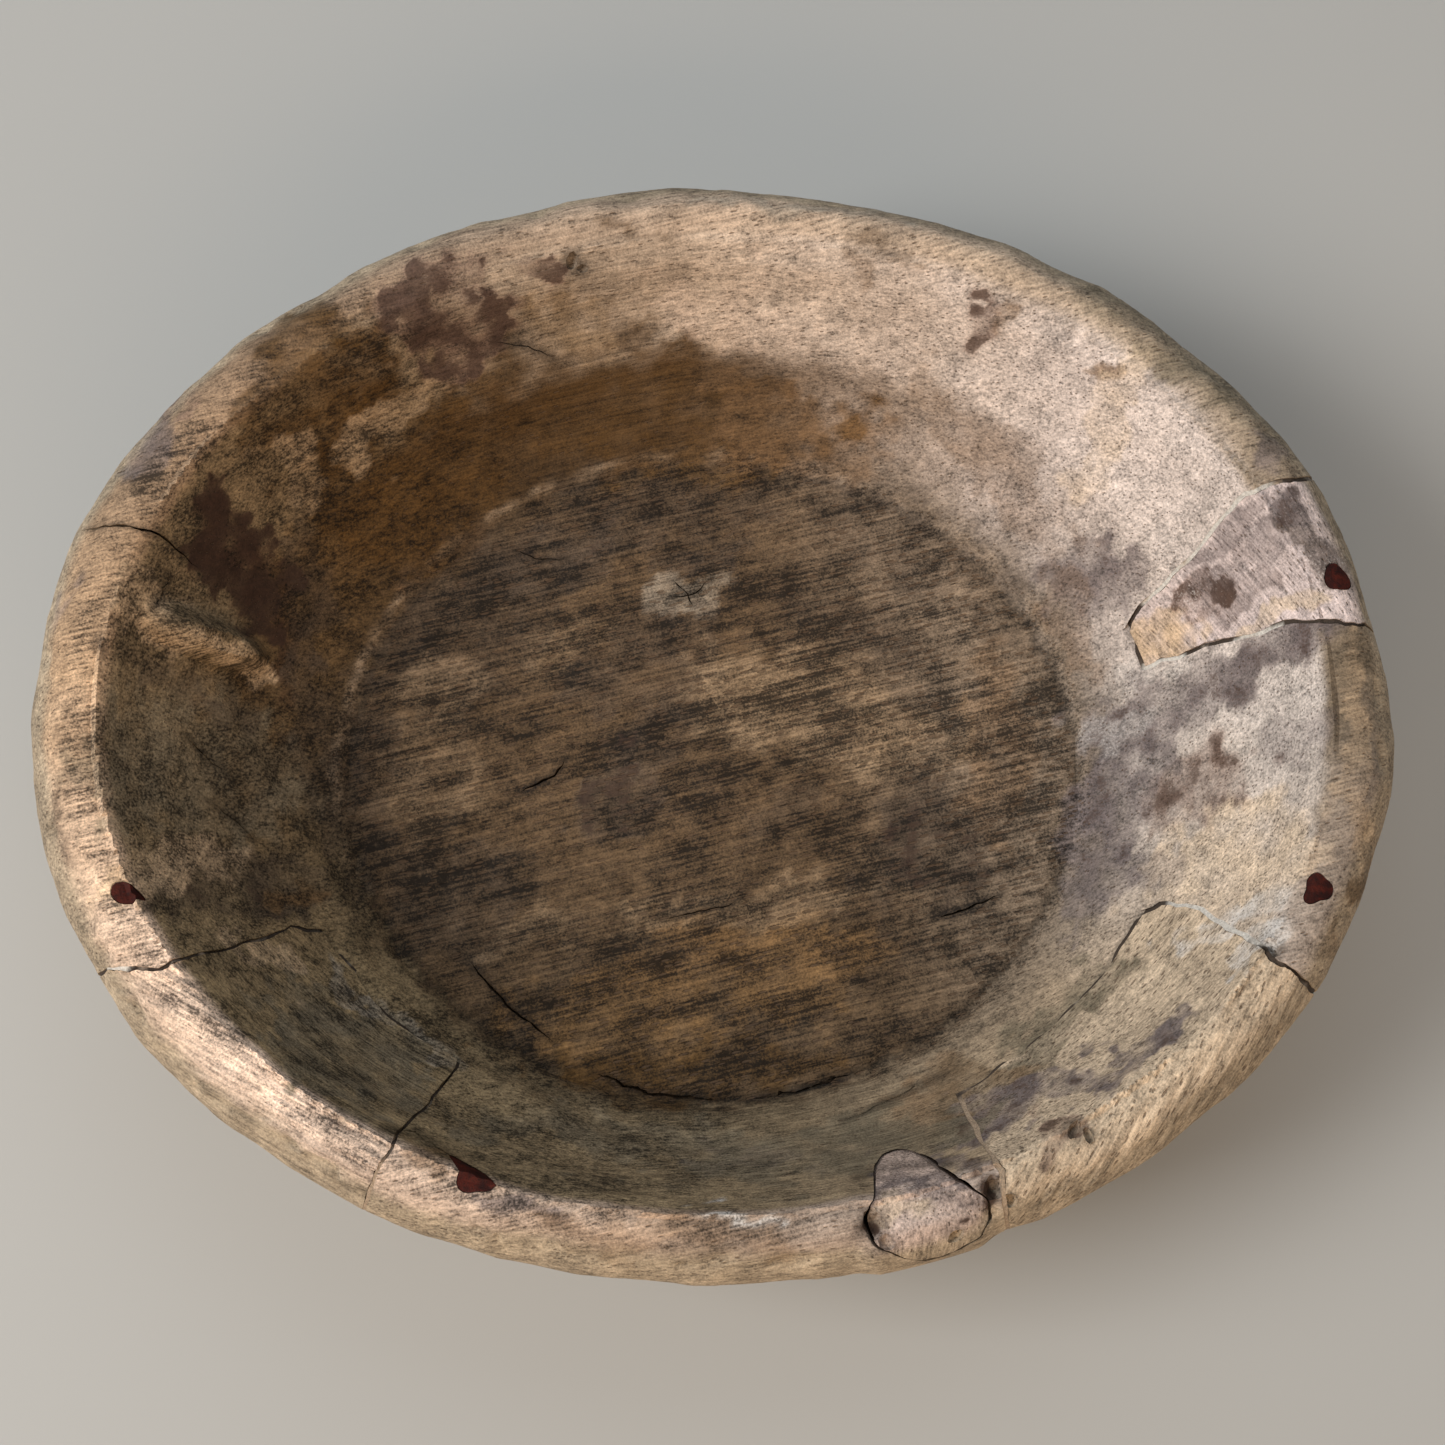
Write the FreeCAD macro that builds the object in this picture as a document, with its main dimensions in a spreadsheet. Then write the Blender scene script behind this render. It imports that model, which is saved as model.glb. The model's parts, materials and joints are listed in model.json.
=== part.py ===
"""Carved wooden bowl, mended with let-in pieces and pegs.

The bowl is one hollowed block of wood.  Three places on its wall were cut back to sound wood, and a fresh
piece was let into each: a wedge on the east side and two rim segments on the south side.  Each piece stands
in a bed of pale filler, and slanted pegs pin the joints.  A loose knot sits in the south rim.

Lengths are millimetres and angles are degrees.  +Z is up, +X runs along the bowl's length, and the origin
is the middle of the foot.  A station is the ellipse's own angle round the rim, anticlockwise from +X.
"""

import FreeCAD, Part
import Sketcher
import os

SIZES = [
    ("bowl_length", 370, "widest line of the outside, along X"),
    ("bowl_width", 306, "widest line of the outside, along Y"),
    ("bowl_height", 86, "foot to rim"),
    ("foot_length", 208, "flat foot, along X"),
    ("foot_width", 176, "flat foot, along Y"),
    ("foot_round", 5, "radius at the edge of the foot"),
    ("heel_height", 12, "level of the heel section"),
    ("heel_fullness", 0.30, "how far the heel has swelled from the foot to the widest line"),
    ("belly_height", 34, "level of the belly section"),
    ("belly_fullness", 0.72, "how far the belly has swelled from the foot to the widest line"),
    ("shoulder_drop", 20, "widest line below the rim"),
    ("crest_inset", 6, "top of the rim inside the widest line"),
    ("rim_west", 24.5, "mouth inside the widest line, west side"),
    ("rim_east", 22.5, "mouth inside the widest line, east side"),
    ("rim_north", 21.5, "mouth inside the widest line, north side"),
    ("rim_south", 20.5, "mouth inside the widest line, south side"),
    ("rim_round", 4, "radius at the outer edge of the rim"),
    ("mouth_round", 2, "radius at the inner edge of the rim"),
    ("floor_thickness", 18, "foot to the floor inside"),
    ("floor_length", 213, "floor inside, along X"),
    ("floor_width", 190, "floor inside, along Y"),
    ("floor_offset", -6.5, "middle of the floor, along Y"),
    ("hollow_rise", 22, "middle section of the hollow above the floor"),
    ("hollow_fullness", 0.50, "how far the hollow has widened there from the floor to the mouth"),
    ("glue_gap", 1.2, "thickness of the filler round each let-in piece"),
    ("wedge_tip_east", 107, "where the wedge's two seams would meet, along X"),
    ("wedge_tip_north", 20, "where the wedge's two seams would meet, along Y"),
    ("wedge_first_station", 6.5, "lower seam of the wedge at the widest line"),
    ("wedge_last_station", 27, "upper seam of the wedge at the widest line"),
    ("wedge_shelf", 32, "shelf under the wedge above the foot"),
    ("southeast_tip_east", 47, "where the southeast seams would meet, along X"),
    ("southeast_tip_north", -14, "where the southeast seams would meet, along Y"),
    ("southeast_first_station", 294, "seam beside the knot at the widest line"),
    ("southeast_last_station", 329, "east seam at the widest line"),
    ("southeast_shelf", 36, "shelf under the southeast segment above the foot"),
    ("southwest_tip_east", -45, "where the southwest seams would meet, along X"),
    ("southwest_tip_north", -39, "where the southwest seams would meet, along Y"),
    ("southwest_first_station", 209.5, "west seam at the widest line"),
    ("southwest_last_station", 241.5, "end seam at the widest line"),
    ("southwest_shelf", 30, "shelf under the southwest segment above the foot"),
    ("knot_station", 288, "knot on the middle of the rim"),
    ("knot_radius", 13, "knot at the rim"),
    ("knot_root_radius", 8, "knot at its inner end"),
    ("knot_length", 44, "knot from the rim to its inner end"),
    ("knot_gap", 0.4, "gap round the knot"),
    ("knot_lean", 22, "lean of the knot out from upright"),
    ("peg_diameter", 6, "pegs"),
    ("peg_clearance", 0.1, "gap round a peg in its hole"),
    ("peg_length", 42, "rim to the inner end of a peg"),
    ("peg_lean", 42, "lean of the pegs from upright"),
    ("wedge_peg_station", 13, "peg across the wedge's lower seam"),
    ("wedge_peg_heading", 89, "way that the wedge peg's head leans"),
    ("west_peg_station", 203.5, "peg across the west seam"),
    ("west_peg_heading", 134, "way that the west peg's head leans"),
    ("southwest_peg_station", 248.5, "peg across the southwest end seam"),
    ("southwest_peg_heading", 325, "way that the southwest peg's head leans"),
    ("east_peg_station", 338, "peg across the east seam"),
    ("east_peg_heading", 48, "way that the east peg's head leans"),
    ("tool_margin", 12, "how far cutting shapes reach past the wood"),
]

doc = FreeCAD.newDocument("carved_wooden_bowl")
sheet = doc.addObject("Spreadsheet::Sheet", "Sizes")
for row, (alias, value, meaning) in enumerate(SIZES, start=1):
    sheet.set(f"A{row}", meaning)
    sheet.set(f"B{row}", str(value))
    sheet.setAlias(f"B{row}", alias)
doc.recompute()

# Ellipses worked out from the driving sizes: half-length, half-width and centre.
FOOT = ("Sizes.foot_length / 2", "Sizes.foot_width / 2")
WIDEST = ("Sizes.bowl_length / 2", "Sizes.bowl_width / 2")
CREST = tuple(f"({half} - Sizes.crest_inset)" for half in WIDEST)
FLOOR = ("Sizes.floor_length / 2", "Sizes.floor_width / 2")
MOUTH = (
    "(Sizes.bowl_length - Sizes.rim_west - Sizes.rim_east) / 2",
    "(Sizes.bowl_width - Sizes.rim_north - Sizes.rim_south) / 2",
)
MOUTH_CENTRE = ("(Sizes.rim_west - Sizes.rim_east) / 2", "(Sizes.rim_south - Sizes.rim_north) / 2")
FLOOR_CENTRE = ("0", "Sizes.floor_offset")


def bind(thing, **expressions):
    """Ties properties of an object to expressions of the sheet."""
    for name, expression in expressions.items():
        thing.setExpression(name, expression)
    return thing


def blend(start, end, share):
    """The pair of expressions that lies a share of the way from one pair to another."""
    return tuple(f"{a} + ({b} - {a}) * {share}" for a, b in zip(start, end))


# --- Carved form: the whole bowl as if it were one sound block -------------------------------------------

form = doc.addObject("PartDesign::Body", "carved_form")
ground = next(plane for plane in form.Origin.OriginFeatures if plane.Role == "XY_Plane")


def ellipse_section(name, level, halves, centre=("0", "0")):
    """A level ellipse, its half-length, half-width, centre and level bound to the sheet."""
    sketch = form.newObject("Sketcher::SketchObject", name)
    sketch.AttachmentSupport = [(ground, "")]
    sketch.MapMode = "FlatFace"
    long_half, short_half = 100, 80
    ellipse = Part.Ellipse(FreeCAD.Vector(0, 0, 0), long_half, short_half)
    curve = sketch.addGeometry(ellipse, False)
    sketch.exposeInternalGeometry(curve)
    long_axis, short_axis = curve + 1, curve + 2
    sketch.addConstraint(Sketcher.Constraint("Coincident", curve, 3, -1, 1))
    sketch.addConstraint(Sketcher.Constraint("Horizontal", long_axis))
    length = sketch.addConstraint(Sketcher.Constraint("Distance", long_axis, 2 * long_half))
    width = sketch.addConstraint(Sketcher.Constraint("Distance", short_axis, 2 * short_half))
    sketch.setExpression(f"Constraints[{length}]", f"2 * ({halves[0]})")
    sketch.setExpression(f"Constraints[{width}]", f"2 * ({halves[1]})")
    sketch.setExpression("AttachmentOffset.Base.x", centre[0])
    sketch.setExpression("AttachmentOffset.Base.y", centre[1])
    sketch.setExpression("AttachmentOffset.Base.z", level)
    return sketch


def loft(kind, name, sections):
    """A smooth loft through level sections."""
    doc.recompute()
    body_feature = form.newObject(kind, name)
    body_feature.Profile = sections[0]
    body_feature.Sections = sections[1:]
    body_feature.Ruled = False
    doc.recompute()
    return body_feature


outside = loft("PartDesign::AdditiveLoft", "outside", [
    ellipse_section("foot_section", "0", FOOT),
    ellipse_section("heel_section", "Sizes.heel_height", blend(FOOT, WIDEST, "Sizes.heel_fullness")),
    ellipse_section("belly_section", "Sizes.belly_height", blend(FOOT, WIDEST, "Sizes.belly_fullness")),
    ellipse_section("widest_section", "Sizes.bowl_height - Sizes.shoulder_drop", WIDEST),
    ellipse_section("crest_section", "Sizes.bowl_height", CREST),
])
block_volume = outside.Shape.Volume

hollow = loft("PartDesign::SubtractiveLoft", "hollow", [
    ellipse_section("floor_section", "Sizes.floor_thickness", FLOOR, FLOOR_CENTRE),
    ellipse_section("wall_section", "Sizes.floor_thickness + Sizes.hollow_rise",
                    blend(FLOOR, MOUTH, "Sizes.hollow_fullness"),
                    blend(FLOOR_CENTRE, MOUTH_CENTRE, "Sizes.hollow_fullness")),
    ellipse_section("mouth_section", "Sizes.bowl_height", MOUTH, MOUTH_CENTRE),
])
if hollow.Shape.Volume > 0.8 * block_volume:
    raise RuntimeError("the hollow was not carved out")


def level_edges(shape, level):
    """Names of the edges that lie at one level, longest first."""
    found = []
    for number, edge in enumerate(shape.Edges, start=1):
        box = edge.BoundBox
        if abs(box.ZMin - level) < 0.01 and abs(box.ZMax - level) < 0.01:
            found.append((edge.Length, f"Edge{number}"))
    return [name for _, name in sorted(found, reverse=True)]


def round_edge(name, base, edge_name, radius):
    """A fillet whose radius is bound to the sheet."""
    fillet = form.newObject("PartDesign::Fillet", name)
    fillet.Base = (base, [edge_name])
    bind(fillet, Radius=radius)
    doc.recompute()
    return fillet


rim_rounded = round_edge("rim_rounded", hollow, level_edges(hollow.Shape, sheet.bowl_height)[0], "Sizes.rim_round")
mouth_rounded = round_edge(
    "mouth_rounded", rim_rounded, level_edges(rim_rounded.Shape, sheet.bowl_height)[-1], "Sizes.mouth_round")
foot_rounded = round_edge("foot_rounded", mouth_rounded, level_edges(mouth_rounded.Shape, 0)[0], "Sizes.foot_round")
form.Tip = foot_rounded
doc.recompute()


# --- Sectors: the cutting shapes for the let-in pieces ---------------------------------------------------


def sector(name, piece, gap):
    """A pie sector from its tip out past the wall, standing on the piece's shelf and set in by a gap."""
    tip = (f"Sizes.{piece}_tip_east", f"Sizes.{piece}_tip_north")
    angles = []
    for end in ("first", "last"):
        station = f"Sizes.{piece}_{end}_station"
        across = f"{WIDEST[0]} * cos({station}) - {tip[0]}"
        along = f"{WIDEST[1]} * sin({station}) - {tip[1]}"
        angles.append(f"atan2({along}; {across})")
    start, end = angles
    span = f"({end} - {start})"
    middle = f"({start} + {span} / 2)"
    slide = f"{gap} / sin({span} / 2)"
    shelf = f"Sizes.{piece}_shelf + {gap}"
    place = (
        f"placement(vector({tip[0]} + {slide} * cos({middle}); {tip[1]} + {slide} * sin({middle}); {shelf});"
        f" rotation(vector(0; 0; 1); {start}))"
    )
    return bind(
        doc.addObject("Part::Cylinder", name),
        Radius="Sizes.bowl_length",
        Height=f"Sizes.bowl_height - Sizes.{piece}_shelf + Sizes.tool_margin",
        Angle=span,
        Placement=place,
    )


# --- Pegs and knot: round tools set on the middle of the rim, leaning with the wall ----------------------


def leaning_place(station, heading, lean, length):
    """Placement of a round tool whose top middle is on the rim and whose own axis leans towards a heading."""
    top = [
        f"({crest} + {mouth}) / 2 * {turn}({station}) + {centre} / 2"
        for crest, mouth, centre, turn in zip(CREST, MOUTH, MOUTH_CENTRE, ("cos", "sin"))
    ]
    return (
        f"placement(vector({top[0]} - {length} * sin({lean}) * cos({heading});"
        f" {top[1]} - {length} * sin({lean}) * sin({heading});"
        f" Sizes.bowl_height - {length} * cos({lean}));"
        f" rotation(vector(-sin({heading}); cos({heading}); 0); {lean}))"
    )


def peg_tool(name, peg, clearance):
    """The cylinder of a peg or of its hole, longer than the peg so that its top clears the rim."""
    return bind(
        doc.addObject("Part::Cylinder", name),
        Radius=f"Sizes.peg_diameter / 2 + {clearance}",
        Height="Sizes.peg_length + Sizes.tool_margin",
        Placement=leaning_place(
            f"Sizes.{peg}_peg_station", f"Sizes.{peg}_peg_heading", "Sizes.peg_lean", "Sizes.peg_length"),
    )


def knot_tool(name, gap):
    """The cone of the knot or of its hole, widening at the same rate up past the rim."""
    widening = "(Sizes.knot_radius - Sizes.knot_root_radius) / Sizes.knot_length * Sizes.tool_margin"
    heading = (
        f"atan2(sin(Sizes.knot_station) * {WIDEST[0]}; cos(Sizes.knot_station) * {WIDEST[1]})"
    )
    return bind(
        doc.addObject("Part::Cone", name),
        Radius1=f"Sizes.knot_root_radius + {gap}",
        Radius2=f"Sizes.knot_radius + {widening} + {gap}",
        Height="Sizes.knot_length + Sizes.tool_margin",
        Placement=leaning_place("Sizes.knot_station", heading, "Sizes.knot_lean", "Sizes.knot_length"),
    )


def boolean(kind, name, base, tool):
    """A Part::Common or Part::Cut of two objects."""
    result = doc.addObject(f"Part::{kind}", name)
    result.Base = base
    result.Tool = tool
    return result


def fused(name, shapes):
    """One object from several."""
    result = doc.addObject("Part::MultiFuse", name)
    result.Shapes = shapes
    return result


PEGS = ("wedge", "west", "southwest", "east")
# Each let-in piece with the name of its node and the pegs that pass through it.
LET_IN = {
    "wedge": ("wedge_patch", ["wedge"]),
    "southeast": ("southeast_rim_segment", ["east"]),
    "southwest": ("southwest_rim_segment", ["west", "southwest"]),
}

peg_shapes = {}
peg_holes = {}
for peg in PEGS:
    peg_shapes[peg] = peg_tool(f"{peg}_peg_rod", peg, "0")
    peg_holes[peg] = peg_tool(f"{peg}_peg_hole", peg, "Sizes.peg_clearance")

pieces = {}
sockets = {}
for piece, (node, pegs) in LET_IN.items():
    sockets[piece] = sector(f"{piece}_socket", piece, "0")
    block = sector(f"{piece}_block", piece, "Sizes.glue_gap")
    holes = fused(f"{piece}_holes", [peg_holes[peg] for peg in pegs]) if len(pegs) > 1 else peg_holes[pegs[0]]
    sound_piece = boolean("Common", f"{piece}_sound", form, block)
    pieces[node] = boolean("Cut", node, sound_piece, holes)
    bed = boolean("Cut", f"{piece}_bed", sockets[piece], block)
    sound_filler = boolean("Common", f"{piece}_filler_sound", form, bed)
    pieces[f"{piece}_filler"] = boolean("Cut", f"{piece}_filler", sound_filler, holes)

knot_hole = knot_tool("knot_hole", "Sizes.knot_gap")
pieces["knot_plug"] = boolean("Common", "knot_plug", form, knot_tool("knot_cone", "0"))
for peg in PEGS:
    pieces[f"{peg}_peg"] = boolean("Common", f"{peg}_peg", form, peg_shapes[peg])

openings = fused("body_openings", [*sockets.values(), *peg_holes.values(), knot_hole])
pieces["bowl_body"] = boolean("Cut", "bowl_body", form, openings)
doc.recompute()

# --- Checks and export -----------------------------------------------------------------------------------

failed = [thing.Name for thing in doc.Objects if {"Invalid", "Error"} & set(thing.State)]
if failed:
    raise RuntimeError(f"failed to recompute: {failed}")
for node, piece in pieces.items():
    piece.Label = node
    shape = piece.Shape
    if shape.isNull() or not shape.isValid() or not shape.Solids:
        raise RuntimeError(f"{node} has no valid solid")

os.makedirs("parts", exist_ok=True)
for node, piece in pieces.items():
    piece.Shape.exportStep(f"parts/{piece.Label}.step")
    box = piece.Shape.BoundBox
    print(f"{node}: {len(piece.Shape.Solids)} solid, {piece.Shape.Volume / 1000:.2f} cm3,"
          f" x {box.XMin:.2f}..{box.XMax:.2f} y {box.YMin:.2f}..{box.YMax:.2f} z {box.ZMin:.2f}..{box.ZMax:.2f}")
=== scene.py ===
# %% [markdown]
# # A carved and mended wooden bowl
# An oval bowl was hollowed from one block with an adze and a gouge. Later its wall was mended: a wedge and two
# lengths of rim were let in, bedded in pale filler and pinned with dark pegs, and a knot sits loose in the rim.
# All pieces share one carved surface. So the whole bowl is shaped first, as if it were sound, and the pieces are
# then sawn out of it, the way a mender saws out rotten wood. That keeps every surface in line across its seams.

# %% Load the frame
import json
import math
import bpy
import numpy as np
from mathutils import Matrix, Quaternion, Vector, noise
from mathutils.bvhtree import BVHTree

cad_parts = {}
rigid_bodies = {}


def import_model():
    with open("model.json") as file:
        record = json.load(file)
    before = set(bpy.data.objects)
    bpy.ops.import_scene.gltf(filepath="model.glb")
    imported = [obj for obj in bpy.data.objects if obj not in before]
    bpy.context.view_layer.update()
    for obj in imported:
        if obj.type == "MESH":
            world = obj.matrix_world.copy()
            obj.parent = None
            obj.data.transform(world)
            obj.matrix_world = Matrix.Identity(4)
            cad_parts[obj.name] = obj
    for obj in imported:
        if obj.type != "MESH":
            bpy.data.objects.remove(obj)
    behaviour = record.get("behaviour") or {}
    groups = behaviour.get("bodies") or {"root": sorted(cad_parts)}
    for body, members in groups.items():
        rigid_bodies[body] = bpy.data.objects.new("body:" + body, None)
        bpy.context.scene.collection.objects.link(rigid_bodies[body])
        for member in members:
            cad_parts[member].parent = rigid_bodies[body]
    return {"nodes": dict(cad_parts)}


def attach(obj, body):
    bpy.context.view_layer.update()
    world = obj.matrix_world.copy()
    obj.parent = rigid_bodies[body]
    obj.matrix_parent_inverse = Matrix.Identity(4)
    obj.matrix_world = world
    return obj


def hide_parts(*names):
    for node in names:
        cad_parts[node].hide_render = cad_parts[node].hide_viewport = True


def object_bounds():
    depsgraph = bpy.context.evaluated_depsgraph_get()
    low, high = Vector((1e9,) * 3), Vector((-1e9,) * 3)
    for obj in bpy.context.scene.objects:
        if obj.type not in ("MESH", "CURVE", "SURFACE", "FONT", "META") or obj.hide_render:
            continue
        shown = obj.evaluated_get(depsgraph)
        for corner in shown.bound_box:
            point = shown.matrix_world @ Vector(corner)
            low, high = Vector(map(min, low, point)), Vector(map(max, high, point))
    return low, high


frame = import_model()
cad_low, cad_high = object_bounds()
bpy.ops.object.select_all(action="DESELECT")
print("nodes", sorted(frame["nodes"]))
print("CAD box in metres", [round(v, 4) for v in (*cad_low, *cad_high)])

# %% [markdown]
# ## Sizes
# A carver measures in millimetres, so the lists below hold millimetres and `MM` turns them into Blender's metres.
# An oval is (half-length, half-width, centre x, centre y). The four ovals are the ones that the frame was designed
# with; the widest one is read from the frame, less a thin skin that the tool marks may use.

# %% The ovals that the bowl is drawn from
MM = 0.001
SKIN = 0.3
FOOT = (104, 88, 0, 0)
WIDEST = (cad_high.x / MM - SKIN, cad_high.y / MM - SKIN, 0, 0)
CREST = (WIDEST[0] - 5, WIDEST[1] - 5, 0, 0)
MOUTH = (161.5, 132, 1, -0.5)
FLOOR = (106.5, 95, 0, -6.5)
RIM_LEVEL = cad_high.z / MM - 0.4
FLOOR_LEVEL = 18


def between(start, end, share):
    """The oval a share of the way from one oval to another."""
    return tuple(a + (b - a) * share for a, b in zip(start, end))


# Level of each ring and how far it has swelled: from the foot out to the widest line, over the rim, and back down
# from the mouth to the floor.
OUTSIDE = [(0, -0.05), (0.5, 0), (4, 0.115), (12, 0.3), (22, 0.52), (34, 0.725), (46, 0.87), (57, 0.965), (66, 1),
           (74, 0.985)]
RIM = [(80.5, 0.05), (84.2, 0.28), (RIM_LEVEL, 0.6), (84.6, 0.97)]
INSIDE = [(80, 0.985), (68, 0.875), (55, 0.735), (43, 0.565), (33, 0.385), (25, 0.21), (20.2, 0.07), (FLOOR_LEVEL, 0),
          (17.7, -0.06), (17.2, -0.5)]
rings = [(level, between(FOOT, WIDEST, share)) for level, share in OUTSIDE]
rings += [(level, between(CREST, MOUTH, share)) for level, share in RIM]
rings += [(level, between(FLOOR, MOUTH, share)) for level, share in INSIDE]
print(len(rings), "rings")

# %% [markdown]
# ## The carved form
# It could be one scaled sphere with a scooped inside, but then the wall's thickness can't be set. Here a circle is
# extruded ring by ring up the outside, over the rim and down the inside, as a potter raises a wall. Subdivision
# rounds the rings, and a voxel remesh then gives even, square faces that take tool marks in any direction.

# %% Extrude the rings
VOXEL = 1.75 * MM


def only(piece):
    """Selects one piece and makes it active, so that an operator acts on nothing else."""
    bpy.ops.object.select_all(action="DESELECT")
    piece.select_set(True)
    bpy.context.view_layer.objects.active = piece
    return piece


def modify(piece, name, kind, **settings):
    """Adds a modifier with its settings and applies it."""
    only(piece)
    modifier = piece.modifiers.new(name, kind)
    for setting, value in settings.items():
        setattr(modifier, setting, value)
    bpy.ops.object.modifier_apply(modifier=name)


def face_outward(piece):
    """Turns every face of a closed piece outward."""
    only(piece)
    bpy.ops.object.mode_set(mode="EDIT")
    bpy.ops.mesh.select_all(action="SELECT")
    bpy.ops.mesh.normals_make_consistent(inside=False)
    bpy.ops.object.mode_set(mode="OBJECT")


level, oval = rings[0]
bpy.ops.mesh.primitive_circle_add(vertices=96, radius=1, location=(0, 0, 0))
whole = bpy.context.object
whole.name = "whole_form"
bpy.ops.object.mode_set(mode="EDIT")
bpy.ops.transform.resize(value=(oval[0] * MM, oval[1] * MM, 1), center_override=(0, 0, 0))
bpy.ops.mesh.edge_face_add()
for next_level, next_oval in rings[1:]:
    bpy.ops.mesh.select_mode(type="EDGE")
    bpy.ops.mesh.extrude_region_move()
    middle = (oval[2] * MM, oval[3] * MM, level * MM)
    bpy.ops.transform.resize(value=(next_oval[0] / oval[0], next_oval[1] / oval[1], 1), center_override=middle)
    step = (next_oval[2] - oval[2], next_oval[3] - oval[3], next_level - level)
    bpy.ops.transform.translate(value=tuple(v * MM for v in step))
    level, oval = next_level, next_oval
bpy.ops.object.mode_set(mode="OBJECT")
face_outward(whole)
modify(whole, "round", "SUBSURF", levels=2, render_levels=2)
modify(whole, "even", "REMESH", mode="VOXEL", voxel_size=VOXEL)
print("carved form", len(whole.data.polygons), "faces", [round(v, 4) for v in whole.dimensions])

# %% [markdown]
# ## Tool marks
# Marks like these could be sculpted by hand. A rule for every point does the same and can be read: soft noise for
# the uneven wall, round scallops where the adze landed, a groove where the floor meets the wall. Each rule gives
# a height in millimetres along the surface's own direction, and the heights are added up.

# %% Reading and moving a mesh's points


def read(piece):
    """Points in millimetres and unit normals of a mesh, as two arrays."""
    count = len(piece.data.vertices)
    points = np.empty(count * 3)
    piece.data.vertices.foreach_get("co", points)
    normals = np.empty(count * 3)
    piece.data.vertices.foreach_get("normal", normals)
    return points.reshape(-1, 3) / MM, normals.reshape(-1, 3)


def write(piece, points):
    """Puts points, given in millimetres, back into a mesh."""
    piece.data.vertices.foreach_set("co", (points * MM).ravel())
    piece.data.update()


def rough(points, size, seed, octaves=2):
    """Smooth noise, about -1 to 1, in lumps of a size in millimetres. A size may differ along x, y and z."""
    shift = Vector((seed * 7.31, seed * 3.17, seed * 5.73))
    scaled = points / np.asarray(size, dtype=float)
    return np.array([noise.fractal(Vector(p) + shift, 1, 2, octaves) for p in scaled])


def scallops(points, size, seed):
    """Round hollows of a size in millimetres, from 0 on their ridges to 1 in their middles."""
    shift = Vector((seed * 4.19, seed * 8.03, seed * 2.91))
    nearest = [noise.voronoi(Vector(p) + shift)[0][0] for p in points / size]
    return np.clip(1 - np.square(np.array(nearest) / 0.6), 0, 1)


def ramp(values, low, high):
    """A smooth rise from 0 at low to 1 at high."""
    share = np.clip((values - low) / (high - low), 0, 1)
    return share * share * (3 - 2 * share)


def oval_share(points, oval):
    """How far out each point lies in plan, as a share of an oval."""
    half_length, half_width, x, y = oval
    return np.hypot((points[:, 0] - x) / half_length, (points[:, 1] - y) / half_width)


def near_line(points, *corners):
    """Distance in plan from a line through corners, in millimetres."""
    best = np.full(len(points), 1e9)
    for start, end in zip(corners, corners[1:]):
        start, end = np.array(start, float), np.array(end, float)
        along = end - start
        share = np.clip(((points[:, :2] - start) @ along) / (along @ along), 0, 1)
        best = np.minimum(best, np.hypot(*(points[:, :2] - start - share[:, None] * along).T))
    return best


def patch_of(points, x, y, length, width, turn):
    """1 in the middle of a turned oval patch in plan, falling to 0 at its edge."""
    angle = math.radians(turn)
    across = points[:, 0] - x
    along = points[:, 1] - y
    u = across * math.cos(angle) + along * math.sin(angle)
    v = along * math.cos(angle) - across * math.sin(angle)
    return 1 - ramp(np.hypot(2 * u / length, 2 * v / width), 0.35, 1)


# %% Carve the marks into the whole form
GRAIN_TURN = 14
points, normals = read(whole)
outward = points[:, 0] * normals[:, 0] / WIDEST[0] ** 2 + points[:, 1] * normals[:, 1] / WIDEST[1] ** 2
facing_in = (outward < 0) | (normals[:, 2] > 0.8)
on_inside = np.where(facing_in & (oval_share(points, MOUTH) < 1.01) & (points[:, 2] > 15), 1.0, 0.0)
on_floor = on_inside * (1 - ramp(oval_share(points, FLOOR), 0.97, 1.05))
on_wall = on_inside - on_floor
on_outside = 1 - on_inside
north = ramp(points[:, 1] / WIDEST[1] + 0.15 * points[:, 0] / WIDEST[0], 0.25, 0.8)

grain = math.radians(GRAIN_TURN)
along_grain = points[:, 0] * math.cos(grain) + points[:, 1] * math.sin(grain)
across_grain = points[:, 1] * math.cos(grain) - points[:, 0] * math.sin(grain)
grain_points = np.stack([along_grain, across_grain, points[:, 2]], axis=1)

height = 0.8 * rough(points, 42, 1) + 0.3 * rough(points, 11, 2) + 0.12 * rough(points, 4, 3)
height -= on_outside * (0.9 * scallops(points, 24, 1) + 0.9 * (1 + rough(points * (1, 1, 0.3), 60, 12)))
height -= on_wall * 0.8 * scallops(points, (30, 30, 18), 2)
height += on_floor * 0.35 * rough(grain_points, (40, 5, 20), 4)
print("waves and scallops from", round(height.min(), 2), "to", round(height.max(), 2), "mm")

# %% [markdown]
# The hollow was cut in several passes, so it has more than waves. A break runs round the north wall where two
# passes met, a low ridge curves down the west wall below a stump of harder wood, and a deep line with torn edges
# follows the south edge of the floor. The north side of the rim is worn round, and the knot stands a little proud.

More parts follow.
